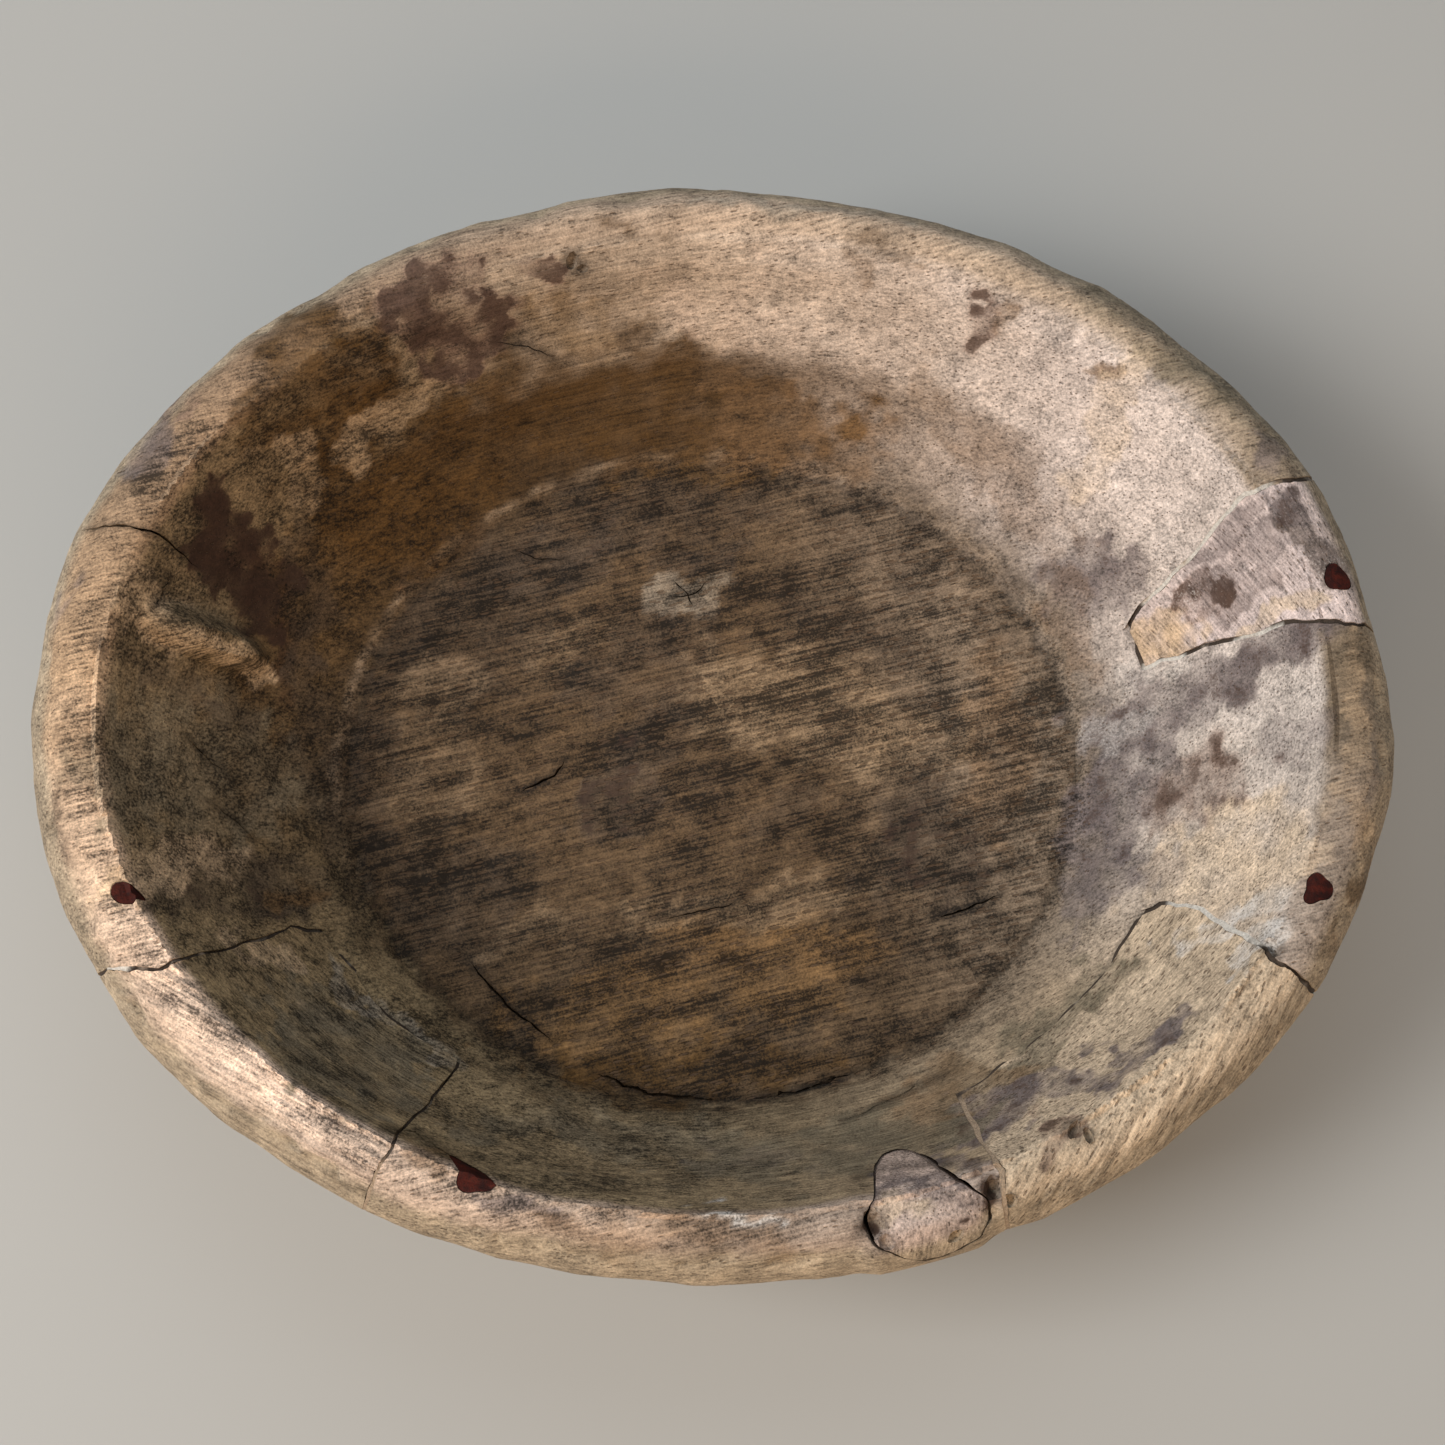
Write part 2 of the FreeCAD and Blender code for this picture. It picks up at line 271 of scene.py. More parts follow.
# %% Ridges, hump and grooves
WEST_RIDGE = [(-146, 16), (-137, 2), (-125, -18), (-107, -44), (-98, -66), (-71, -93), (-44, -106)]
HUMP = (-141, 23, 34, 15, -8)
KNOT_SWELLING = (55, -142, 44, 22, 10)
height += on_wall * north * 2.2 * np.exp(-np.square((points[:, 2] - 47 - 3 * rough(points, 50, 6)) / 9))
height += on_wall * 1.6 * np.exp(-np.square(near_line(points, *WEST_RIDGE) / 3.2)) * (points[:, 2] < 74)
height += on_wall * 7.5 * patch_of(points, *HUMP) * ramp(points[:, 2], 80, 66)
height += 3.4 * patch_of(points, *KNOT_SWELLING) * (points[:, 2] > 55)
edge_share = oval_share(points, FLOOR) + 0.015 * rough(points, 9, 5)
south = ramp(-points[:, 1], -20, 60)
height -= on_inside * (1.0 + 1.0 * south) * np.exp(-np.square((edge_share - 0.995) / 0.018))
chips = ramp(rough(points, (9, 9, 7), 7), 0.25, 0.6) * ramp(points[:, 2], 72, 82)
chips *= ramp(oval_share(points, CREST), 0.97, 1)
height -= 1.3 * chips + 0.4 * ramp(points[:, 2], 76, 84) * (1 + rough(points, 20, 8))
points += normals * np.minimum(height, SKIN + on_inside * 9)[:, None]

# %% Wear down the rim
FLAT_EAST = (190, 40, 40, 90, 0)
worn_round = north * ramp(oval_share(points, MOUTH), 1.085, 0.995) * ramp(points[:, 2], 70, 86)
uneven = 1.1 * (1 + rough(points * (1, 1, 0), 60, 9)) + 0.35 * (1 + rough(points * (1, 1, 0), 14, 10))
points[:, 2] -= 4.5 * worn_round + uneven * ramp(points[:, 2], 60, 86)
flat_east = patch_of(points, *FLAT_EAST) * (oval_share(points, CREST) > 0.98)
points[:, 0] -= 2.5 * flat_east * ramp(points[:, 2], 20, 60)
write(whole, points)
print("rim between", round(points[points[:, 2] > 76, 2].mean(), 1), "and", round(points[:, 2].max(), 1), "mm")

# %% Keep the form in the CAD box


def keep_in_box(piece):
    """Holds every point inside the frame's box, so that the visible bowl is never larger than the part."""
    points, _ = read(piece)
    low, high = np.array(cad_low) / MM, np.array(cad_high) / MM
    write(piece, np.clip(points, low, high))


keep_in_box(whole)
modify(whole, "settle", "CORRECTIVE_SMOOTH", factor=0.25, iterations=1)
print("form", [round(v, 4) for v in whole.dimensions])

# %% [markdown]
# ## Camera, floor and light
# The bowl stands on a pale worktop and is looked into from steeply above. Soft light comes from one large window at
# the left, low enough to leave the left wall of the hollow in shade. A cooler fill comes from behind and a warm one,
# as from a painted wall, from the front.

# %% Camera
CAMERA_PLACE = Vector((2.9, -142.0, 619.7)) * MM
CAMERA_TILT = math.radians(14)
SENSOR_WIDTH = 36
FOCAL_LENGTH = 52.6
camera_data = bpy.data.cameras.new("camera")
camera_data.sensor_width = SENSOR_WIDTH
camera_data.lens = FOCAL_LENGTH
camera = bpy.data.objects.new("camera", camera_data)
camera.location = CAMERA_PLACE
camera.rotation_euler = (CAMERA_TILT, 0, 0)
bpy.context.scene.collection.objects.link(camera)
bpy.context.scene.camera = camera

# %% Worktop
bpy.ops.mesh.primitive_plane_add(size=4, location=(0, 0, 0))
worktop = bpy.context.object
worktop.name = "worktop"
worktop_look = bpy.data.materials.new("worktop")
worktop_look.use_nodes = True
worktop_shader = worktop_look.node_tree.nodes["Principled BSDF"]
worktop_shader.inputs["Base Color"].default_value = (0.45, 0.455, 0.445, 1)
worktop_shader.inputs["Roughness"].default_value = 0.5
worktop.data.materials.append(worktop_look)

# %% Light
AIM = Vector((0, 0, 0.05))


def window(name, place, size, power, colour):
    """A rectangular soft light that faces the bowl."""
    light_data = bpy.data.lights.new(name, "AREA")
    light_data.shape = "RECTANGLE"
    light_data.size, light_data.size_y = size
    light_data.energy = power
    light_data.color = colour
    light = bpy.data.objects.new(name, light_data)
    light.location = place
    light.rotation_euler = (AIM - Vector(place)).to_track_quat("-Z", "Y").to_euler()
    bpy.context.scene.collection.objects.link(light)


window("window", (-2.1, -0.28, 1.8), (1.2, 1.4), 62, (1.0, 0.975, 0.94))
window("sky", (0.2, 1.6, 2.2), (2.2, 1.6), 10, (0.86, 0.94, 1.0))
window("warm_wall", (0.2, -1.7, 1.2), (2.4, 0.9), 19, (1.0, 0.68, 0.40))
world = bpy.data.worlds.new("room")
world.use_nodes = True
world.node_tree.nodes["Background"].inputs["Color"].default_value = (0.95, 0.98, 1.0, 1)
world.node_tree.nodes["Background"].inputs["Strength"].default_value = 0.26
bpy.context.scene.world = world
bpy.context.scene.view_settings.view_transform = "Standard"

# %% [markdown]
# ## Saw out the pieces
# Each let-in piece is a pie-shaped sector of the bowl above a level shelf. Two prisms are made for it: the socket,
# which is sawn out of the body, and the block, a filler's thickness smaller, which is what remains of the form as
# the new piece. Their sides wobble a little, as a saw does. Boolean modifiers then cut the same surface into
# pieces, so nothing has to be matched by hand.

# %% Seams
STEP = 2
ABOVE_THE_RIM = 110
# Corners of each piece's two seams, from where they meet out past the wall: the clockwise one, then the other.
SEAMS = {
    "wedge": ([(109, 20), (124, 20.3), (137.7, 22), (156.2, 21.6), (163, 19.4), (179.4, 18.5), (215, 17)],
              [(109, 20.6), (117.4, 30.4), (123.1, 37.9), (134.6, 47.7), (143.6, 57.4), (158.5, 61.1), (195, 76)]),
    "southeast": ([(47, -14), (66.7, -102), (70, -119), (75.2, -139.8), (86, -185)],
                  [(47, -14), (100, -48), (108.2, -50.3), (116.6, -51.6), (126.4, -48.6), (132.6, -51.3), (140, -62.9),
                   (144.2, -70.2), (156.9, -76.6), (200, -95)]),
    "southwest": ([(-45, -39), (-103.7, -54.9), (-117, -54.9), (-129.5, -64.8), (-140.8, -72.2), (-154.7, -71.7),
                   (-205, -82)],
                  [(-45, -39), (-75.5, -106), (-78.5, -113), (-82, -122), (-88.3, -134.5), (-105, -175)]),
}
SHELF = {"wedge": 32, "southeast": 36, "southwest": 30}
FILLER_GAP = {"wedge": 1.2, "southeast": 1.3, "southwest": 0.9}
# Where the filler is clean and fills its joint up to the surface: place, length and width in plan, and turn.
CLEAN = [(138, 51, 46, 14, 45), (134, -57, 28, 14, -50), (-152, -72, 10, 8, 0), (130, 20.5, 14, 6, 0),
         (150, 21, 16, 6, 0)]
# Where it was toned like the wood, so that it fills its joint but hardly shows.
HIDDEN = [(72, -122, 34, 60, 15), (-90, -130, 26, 34, -20), (-170, -76, 20, 20, 0)]


def walk(corners, stops):
    """Stops along a line through corners: how far each lies, where it lies and the line's direction there."""
    corners = np.array(corners, float)
    reached = np.concatenate([[0], np.cumsum(np.hypot(*np.diff(corners, axis=0).T))])
    steps = stops(reached[-1])
    line = np.stack([np.interp(steps, reached, corners[:, axis]) for axis in (0, 1)], axis=1)
    way = np.gradient(line, axis=0)
    return steps, line, way / np.hypot(*way.T)[:, None]


def seam(corners, gap, seed):
    """Points of one wobbly seam through its corners, moved to its left by a gap."""
    steps, line, way = walk(corners, lambda length: np.arange(0, length, STEP))
    wobble = [noise.noise(Vector((at / 9, seed, 0))) + 0.8 * noise.noise(Vector((at / 3.1, seed, 4))) for at in steps]
    tight = np.array([1 + 0.9 * noise.noise(Vector((at / 6, seed, 8))) for at in steps])
    return line + np.stack([-way[:, 1], way[:, 0]], axis=1) * (gap * tight + 1.1 * np.array(wobble))[:, None]


def build(name, places, faces):
    """A mesh piece from points in millimetres and faces."""
    mesh = bpy.data.meshes.new(name)
    mesh.from_pydata([tuple(float(v) * MM for v in place) for place in places], [], faces)
    piece = bpy.data.objects.new(name, mesh)
    bpy.context.scene.collection.objects.link(piece)
    return piece


def prism(name, outline, low, high):
    """A closed prism on an outline in plan, between two levels."""
    piece = build(name, [(x, y, low) for x, y in outline], [range(len(outline))])
    only(piece)
    bpy.ops.object.mode_set(mode="EDIT")
    bpy.ops.mesh.select_all(action="SELECT")
    bpy.ops.mesh.extrude_region_move(TRANSFORM_OT_translate={"value": (0, 0, (high - low) * MM)})
    bpy.ops.object.mode_set(mode="OBJECT")
    face_outward(piece)
    return piece


def sector(name, piece, gap, seed):
    """The prism of a socket (gap 0) or of the block that stands in it."""
    first, last = (np.array(corners) for corners in SEAMS[piece])
    first, last = seam(first, gap, seed), seam(last, -gap, seed + 1)
    # Near the tip the seams are too close together to be moved in, so the block starts where they are far enough
    # apart.
    shorter = min(len(first), len(last))
    apart = np.hypot(*(first[:shorter] - last[:shorter]).T)
    skip = int(np.argmax(apart > 1.5 * gap)) + 1 if gap else 1
    outline = [*first[skip:], *last[skip:][::-1]]
    if not gap:
        outline.insert(0, (first[0] + last[0]) / 2)
    return prism(name, outline, SHELF[piece] + gap, ABOVE_THE_RIM)


def copy_of(piece, name):
    """A copy with its own mesh."""
    copied = piece.copy()
    copied.data = piece.data.copy()
    copied.name = name
    copied.data.name = name
    bpy.context.scene.collection.objects.link(copied)
    return copied


def saw(piece, tool, operation):
    """Cuts a piece with a tool, or keeps only what the two share."""
    modify(piece, "saw", "BOOLEAN", operation=operation, solver="MANIFOLD", object=tool)


body = copy_of(whole, "bowl_body_wood")
sockets, blocks = {}, {}
for seed, name in enumerate(SEAMS):
    sockets[name] = sector(f"{name}_socket_tool", name, 0, seed * 2)
    blocks[name] = sector(f"{name}_block_tool", name, FILLER_GAP[name], seed * 2)
    saw(body, sockets[name], "DIFFERENCE")
    print(name, "sawn out;", len(body.data.polygons), "faces left on the body")

# %% Let in the pieces
NEW_WOOD = {"wedge": "wedge_patch", "southeast": "southeast_rim_segment", "southwest": "southwest_rim_segment"}
new_wood = {}
for name, node in NEW_WOOD.items():
    new_wood[name] = copy_of(whole, node + "_wood")
    saw(new_wood[name], blocks[name], "INTERSECT")
    print(node, len(new_wood[name].data.polygons), "faces")

# %% Filler in the joints
filler = {}
for name in SEAMS:
    sunk = copy_of(whole, f"{name}_filler_line")
    points, normals = read(sunk)
    clean = np.max([patch_of(points, *place) for place in CLEAN + HIDDEN], axis=0)
    depth = 0.1 + (0.3 + 1.8 * np.clip(rough(points, 9, 11) + 0.1, 0, 1)) * (1 - ramp(clean, 0, 0.4))
    write(sunk, points - normals * depth[:, None])
    saw(sunk, sockets[name], "INTERSECT")
    saw(sunk, blocks[name], "DIFFERENCE")
    filler[name] = sunk
    print(name, "filler", len(sunk.data.polygons), "faces")

# %% [markdown]
# ## Knot and pegs
# The knot is the root of a branch: a tapered core of harder wood that has shrunk away from the wood round it, so a
# dark gap shows. A cone does for it, leaning out with the wall, but its sides are pushed in and out so that it is as
# lumpy as a real one. Its hole is the same cone, a little larger. The pegs were whittled, so each rod gets its own
# cross-section: an oval, a heart, a rounded triangle. Both are cut flush by keeping only what they share with the
# whole form.

# %% Knot
LEAN = {"knot": 22, "peg": 42}
KNOT_TOP, KNOT_HEADING, KNOT_GAP = (55, -137, 84.5), 285, 0.7
KNOT_LENGTH, KNOT_MARGIN, KNOT_ROOT, KNOT_HEAD = 44, 10, 8, 15.5
KNOT_STRETCH = (1.14, 0.84)


def stand(piece, top, heading, lean, length):
    """Stands an upright tool with its foot at the origin so that its axis ends at a top point, leaning to a heading."""
    points, _ = read(piece)
    axis = Vector((-math.sin(math.radians(heading)), math.cos(math.radians(heading)), 0))
    turn = np.array(Quaternion(axis, math.radians(lean)).to_matrix())
    write(piece, (points - (0, 0, length)) @ turn.T + np.array(top))


def knot_cone(name, gap):
    """The lumpy cone of the knot or, with a gap, of its hole."""
    tall = (KNOT_LENGTH + KNOT_MARGIN) * MM
    bpy.ops.mesh.primitive_cone_add(vertices=48, radius1=(KNOT_ROOT + gap) * MM, radius2=(KNOT_HEAD + gap) * MM,
                                    depth=tall, location=(0, 0, tall / 2))
    cone = bpy.context.object
    cone.name = name
    bpy.ops.object.transform_apply(location=True)
    bpy.ops.object.mode_set(mode="EDIT")
    bpy.ops.mesh.select_all(action="SELECT")
    bpy.ops.mesh.subdivide(number_cuts=2)
    bpy.ops.object.mode_set(mode="OBJECT")
    points, _ = read(cone)
    spread = 1 + 0.13 * rough(points, (13, 13, 30), 21) + 0.07 * rough(points, (5, 5, 20), 23)
    spread += (gap > 0) * 0.06 * rough(points, (6, 6, 20), 22)
    points[:, :2] *= spread[:, None] * KNOT_STRETCH
    write(cone, points)
    stand(cone, KNOT_TOP, KNOT_HEADING, LEAN["knot"], KNOT_LENGTH)
    return cone


knot = copy_of(whole, "knot_wood")
saw(knot, knot_cone("knot_tool", 0), "INTERSECT")
knot_hole = knot_cone("knot_hole_tool", KNOT_GAP)
for piece in (body, new_wood["southeast"], filler["southeast"]):
    saw(piece, knot_hole, "DIFFERENCE")
print("knot", len(knot.data.polygons), "faces")

# %% Pegs
PEG_LENGTH, PEG_MARGIN, PEG_GAP, PEG_TOP = 42, 8, 0.25, 85
# Top of each peg on the rim, way that it leans, radius, and how oval, three-cornered and bean-shaped it is.
PEGS = {
    "wedge": ((167.4, 36.2), 89, 3.1, 0.14, 0.06, 0.05),
    "west": ((-153.6, -50.6), 134, 2.7, 0.08, 0.03, 0.0),
    "southwest": ((-56.8, -126.3), 338, 3.3, 0.05, 0.18, 0.12),
    "east": ((158.4, -49.6), 48, 3.2, 0.02, 0.2, 0.08),
}


def peg_rod(name, place, heading, radius, oval, corners, bean, gap):
    """A whittled rod, longer than the peg so that it stands clear of the rim."""
    tall = (PEG_LENGTH + PEG_MARGIN) * MM
    bpy.ops.mesh.primitive_cylinder_add(vertices=32, radius=1 * MM, depth=tall, location=(0, 0, tall / 2))
    rod = bpy.context.object
    rod.name = name
    bpy.ops.object.transform_apply(location=True)
    points, _ = read(rod)
    round_it = np.arctan2(points[:, 1], points[:, 0])
    spread = radius * (1 + oval * np.cos(2 * round_it) + corners * np.cos(3 * round_it + 0.6)
                       + bean * np.cos(round_it)) + gap
    points[:, :2] *= spread[:, None]
    write(rod, points)
    stand(rod, (*place, PEG_TOP), heading, LEAN["peg"], PEG_LENGTH)
    return rod


pegs = {}
for name, (place, heading, *shape) in PEGS.items():
    pegs[name] = copy_of(whole, f"{name}_peg_wood")
    saw(pegs[name], peg_rod(f"{name}_rod_tool", place, heading, *shape, 0), "INTERSECT")
    hole = peg_rod(f"{name}_hole_tool", place, heading, *shape, PEG_GAP)
    for piece in (body, *new_wood.values(), *filler.values()):
        saw(piece, hole, "DIFFERENCE")
    print(name, "peg", len(pegs[name].data.polygons), "faces")

# %% [markdown]
# ## Cracks, pits and rough tool grooves
# Old cracks could be drawn as dark lines, but real ones are gaps that catch shadow. Each crack is a long blade with a
# V-shaped section that follows its line over the surface and is cut away. A ray dropped on the whole form finds the
# surface under each corner. Pits and torn spots are squashed spheres cut away the same way.

# %% Crack blades
RAY_START = 120
BLADE_STEP = 1.6
BLADE_PROUD = 1.2
whole_tree = BVHTree.FromPolygons([v.co[:] for v in whole.data.vertices], [p.vertices[:] for p in whole.data.polygons])


def drop(x, y):
    """The point of the form straight below a place in plan, and its normal, in millimetres."""
    hit, normal, _, _ = whole_tree.ray_cast(Vector((x, y, RAY_START)) * MM, Vector((0, 0, -1)))
    return np.array(hit) / MM, np.array(normal)


def blade(name, corners, width, depth, seed):
    """A tapering blade with a V-shaped section along a wandering line over the surface."""
    steps, line, way = walk(corners, lambda length: np.linspace(0, length, max(4, int(length / BLADE_STEP))))
    places, faces = [], []
    for number, (at, (x, y), (along, across)) in enumerate(zip(steps, line, way)):
        wander = 0.7 * noise.noise(Vector((at / 4, seed, 0))) + 0.5 * noise.noise(Vector((at / 1.7, seed, 9)))
        point, normal = drop(x - across * wander, y + along * wander)
        share = at / steps[-1]
        swell = min(1, 4 * share + 0.15, 4 * (1 - share) + 0.15) * (0.75 + 0.5 * noise.noise(Vector((at / 3, seed, 5))))
        side = np.cross(normal, (along, across, 0))
        side /= np.linalg.norm(side)
        half = width * swell / 2
        proud = point + normal * BLADE_PROUD
        places += [proud + side * half * 1.5, proud - side * half * 1.5, point - normal * depth * swell]
        if number:
            old, new = 3 * number - 3, 3 * number
            faces += [(old + a, old + b, new + b, new + a) for a, b in ((0, 1), (1, 2), (2, 0))]
    faces += [(0, 2, 1), (len(places) - 3, len(places) - 2, len(places) - 1)]
    tool = build(name, places, faces)
    face_outward(tool)
    return tool


# Each crack's line in plan, its width and its depth.
CRACKS = {
    "northwest_rim": ([(-172, 46.2), (-166, 46.5), (-155, 46), (-148, 45), (-142, 40.5)], 0.8, 5),
    "northwest_short": ([(-148.5, 37), (-149.5, 33), (-151, 27)], 0.7, 2.5),
    "southwest_end": ([(-83, -112.5), (-76, -113), (-70, -116.5), (-62, -122)], 1.0, 5),
    "knot_top": ([(37, -124), (45, -121.5), (54, -120.6), (61, -121)], 0.8, 3),
    "southeast_foot": ([(36, -108), (45, -104), (54, -99.5), (64.6, -95.1)], 0.8, 3),
    "floor_west": ([(-56, -13), (-51, -10), (-46, -7.5), (-43, -3)], 0.9, 3),
    "floor_south": ([(-14, -50), (-2, -47.5), (8, -45)], 0.6, 2),
    "floor_southeast": ([(64, -50), (72, -47.5), (83, -43)], 0.9, 3),
    "floor_middle_a": ([(-12, 52), (-8, 48.5), (-6, 44)], 0.7, 2),
    "floor_middle_b": ([(-1, 52.5), (-5, 48), (-13, 46.5)], 0.6, 2),
    "floor_northwest": ([(-60, 62), (-52, 58.5), (-44, 58.5)], 0.6, 2),
    "west_wall_a": ([(-146, -4), (-141, -9), (-136, -12.5)], 0.6, 2),
    "west_wall_b": ([(-139, -22), (-133, -26), (-128, -31)], 0.5, 1.6),
    "south_edge_a": ([(-70, -62), (-58, -75), (-45, -85)], 1.2, 2.5),
    "south_edge_b": ([(-34, -93.5), (-18, -99.5), (2, -101.5)], 1.3, 3),
    "south_edge_c": ([(10, -101.3), (26, -98.5), (40, -93.5)], 1.2, 2.5),
    "north_wall": ([(-62, 110), (-55, 110.5), (-46, 109)], 0.8, 1.6),
}
crack_tools = [blade(f"{name}_crack_tool", *crack, seed) for seed, (name, crack) in enumerate(CRACKS.items())]
for piece in (body, new_wood["southwest"], new_wood["southeast"], knot):
    for tool in crack_tools:
        saw(piece, tool, "DIFFERENCE")
print(len(crack_tools), "cracks;", len(body.data.polygons), "faces on the body")

# %% Pits
# Place, radii along x, y and into the surface, and turn.
PITS = [
    (40.2, -136, 2.6, 4.2, 2.6, 10), (43.5, -140.5, 2, 2.6, 2, 40), (70.5, -127.5, 2.8, 3.2, 3.2, 0),
    (74.5, -130.5, 2, 2.4, 2, 30), (61, -139, 1.8, 2.6, 2, -30), (-39.4, 126.9, 1.6, 2.8, 1.8, -10),
    (-36.5, 125.6, 1.6, 1.2, 1.2, 0), (171.5, 31, 1.1, 0.9, 1.2, 0), (91, -113, 1.3, 2.6, 1.5, -25),
    (94.5, -114.5, 1.1, 2.2, 1.4, 20), (143.5, -67, 1.7, 3.2, 2.6, 25),
]
pit_tools = []
for number, (x, y, across, along, depth, turn) in enumerate(PITS):
    point, normal = drop(x, y)
    bpy.ops.mesh.primitive_ico_sphere_add(subdivisions=3, radius=1 * MM, location=(0, 0, 0))
    tool = bpy.context.object
    tool.name = f"pit_tool_{number}"
    points, _ = read(tool)
    points *= (1 + 0.25 * rough(points * 3, 1.4, 30 + number))[:, None]
    points *= (across, along, depth)
    spin = Quaternion((0, 0, 1), math.radians(turn))
    tilt = Vector((0, 0, 1)).rotation_difference(Vector(normal))
    write(tool, points @ np.array((tilt @ spin).to_matrix()).T + point)
    pit_tools.append(tool)
for piece in (body, new_wood["southeast"], knot):
    for tool in pit_tools:
        saw(piece, tool, "DIFFERENCE")
print(len(pit_tools), "pits")

# %% [markdown]
# The mender never smoothed the southwest rim piece: rasp grooves run across it in one direction, 2 mm apart. The
# southeast piece has softer, steeper ones. They need finer faces than the rest, so only these pieces are subdivided.

# %% Rasp grooves


def groove(piece, turn, spacing, depth, seed, lowest):
    """Presses long parallel grooves into the upper face of a piece."""
    modify(piece, "finer", "SUBSURF", subdivision_type="SIMPLE", levels=1, render_levels=1)
    points, normals = read(piece)
    angle = math.radians(turn)
    along = points[:, 0] * math.cos(angle) + points[:, 1] * math.sin(angle)
    across = points[:, 1] * math.cos(angle) - points[:, 0] * math.sin(angle)
    stretched = np.stack([along / 12, across / spacing, points[:, 2] / 40], axis=1)
    shape = rough(stretched, 1, seed, 2)
    top = ramp(points[:, 2], lowest, lowest + 5) * ramp(normals[:, 2], 0.1, 0.6)
    write(piece, points + normals * (depth * top * (shape - 0.3))[:, None])
    print(piece.name, "grooved;", len(piece.data.polygons), "faces")


# Turn, spacing, depth, seed and lowest level of each piece's grooves.
GROOVES = {"southwest": (-28, 1.7, 0.75, 41, 72), "southeast": (62, 1.8, 0.5, 42, 60), "wedge": (-62, 1.6, 0.3, 43, 34)}
for name, grooves in GROOVES.items():
    groove(new_wood[name], *grooves)

# %% [markdown]
# ## Colour laid on
# Bare wood that has been handled, wetted and mended is blotched, and the blotches aren't in any pattern that noise
# alone could make. So each piece gets point colours, as a restorer tones in a repair: first a ground by place (floor,
# wall, rim, outside, and the way round the bowl), then named stains, each an oval patch in plan with a torn edge.
# A few patches and lines are painted light and shade instead: a painted highlight on the hump's top and along the north
# lip of the floor's groove, and painted shade below the hump, in the groove, on the north edge of the rim and on the
# north-east shoulder.
# Other attributes hold how dark-stained, dusty, porous and fissured the wood is, and the material uses them to
# draw detail that is finer than the mesh.

# %% Tones and grounds
# Colour of each tone, and how dark a full-strength stain of it soaks in.
TONES = {
    "pale": (0.6, 0.47, 0.34), "tan": (0.5, 0.36, 0.23), "pink": (0.55, 0.42, 0.33), "honey": (0.155, 0.085, 0.033),
    "brown": (0.17, 0.1, 0.05), "light": (0.21, 0.145, 0.088), "dark": (0.065, 0.046, 0.032),
    "purple": (0.2, 0.125, 0.095), "wine": (0.045, 0.02, 0.012), "slate": (0.15, 0.122, 0.12),
    "grey": (0.31, 0.265, 0.21), "olive": (0.17, 0.14, 0.095), "white": (0.58, 0.55, 0.52),
    "umber": (0.085, 0.044, 0.013),
}
SOAKS = {"purple": 1, "wine": 1, "dark": 0.75, "slate": 0.55, "brown": 0.35, "umber": 0.3, "olive": 0.25}
# Colours by the way round the bowl, every 45 degrees from east through north.
WALL_GROUND = [(.54, .48, .44), (.58, .50, .46), (.51, .40, .31), (.21, .145, .08), (.195, .14, .08), (.26, .19, .105),
               (.25, .19, .115), (.43, .33, .23)]
RIM_GROUND = [(.16, .12, .08), (.42, .33, .245), (.49, .37, .275), (.23, .155, .10), (.43, .29, .18), (.72, .55, .435),
              (.27, .20, .15), (.56, .47, .41)]
# How dark the foot of the wall is below the break between two passes of the tool, by the same directions.
FOOT_SHADE = [.15, .2, .9, .95, .6, 0, .1, .15]
FLOOR_GROUND = (0.088, 0.055, 0.029)
# Painted highlight: the colour of a lighter line along the north lip of the floor's groove.
LIP_HIGHLIGHT = (0.34, 0.25, 0.17)
EAST_FOOT = (0.19, 0.145, 0.105)
OUTSIDE_GROUND = (0.34, 0.27, 0.19)
EDGE_SIZE = 7

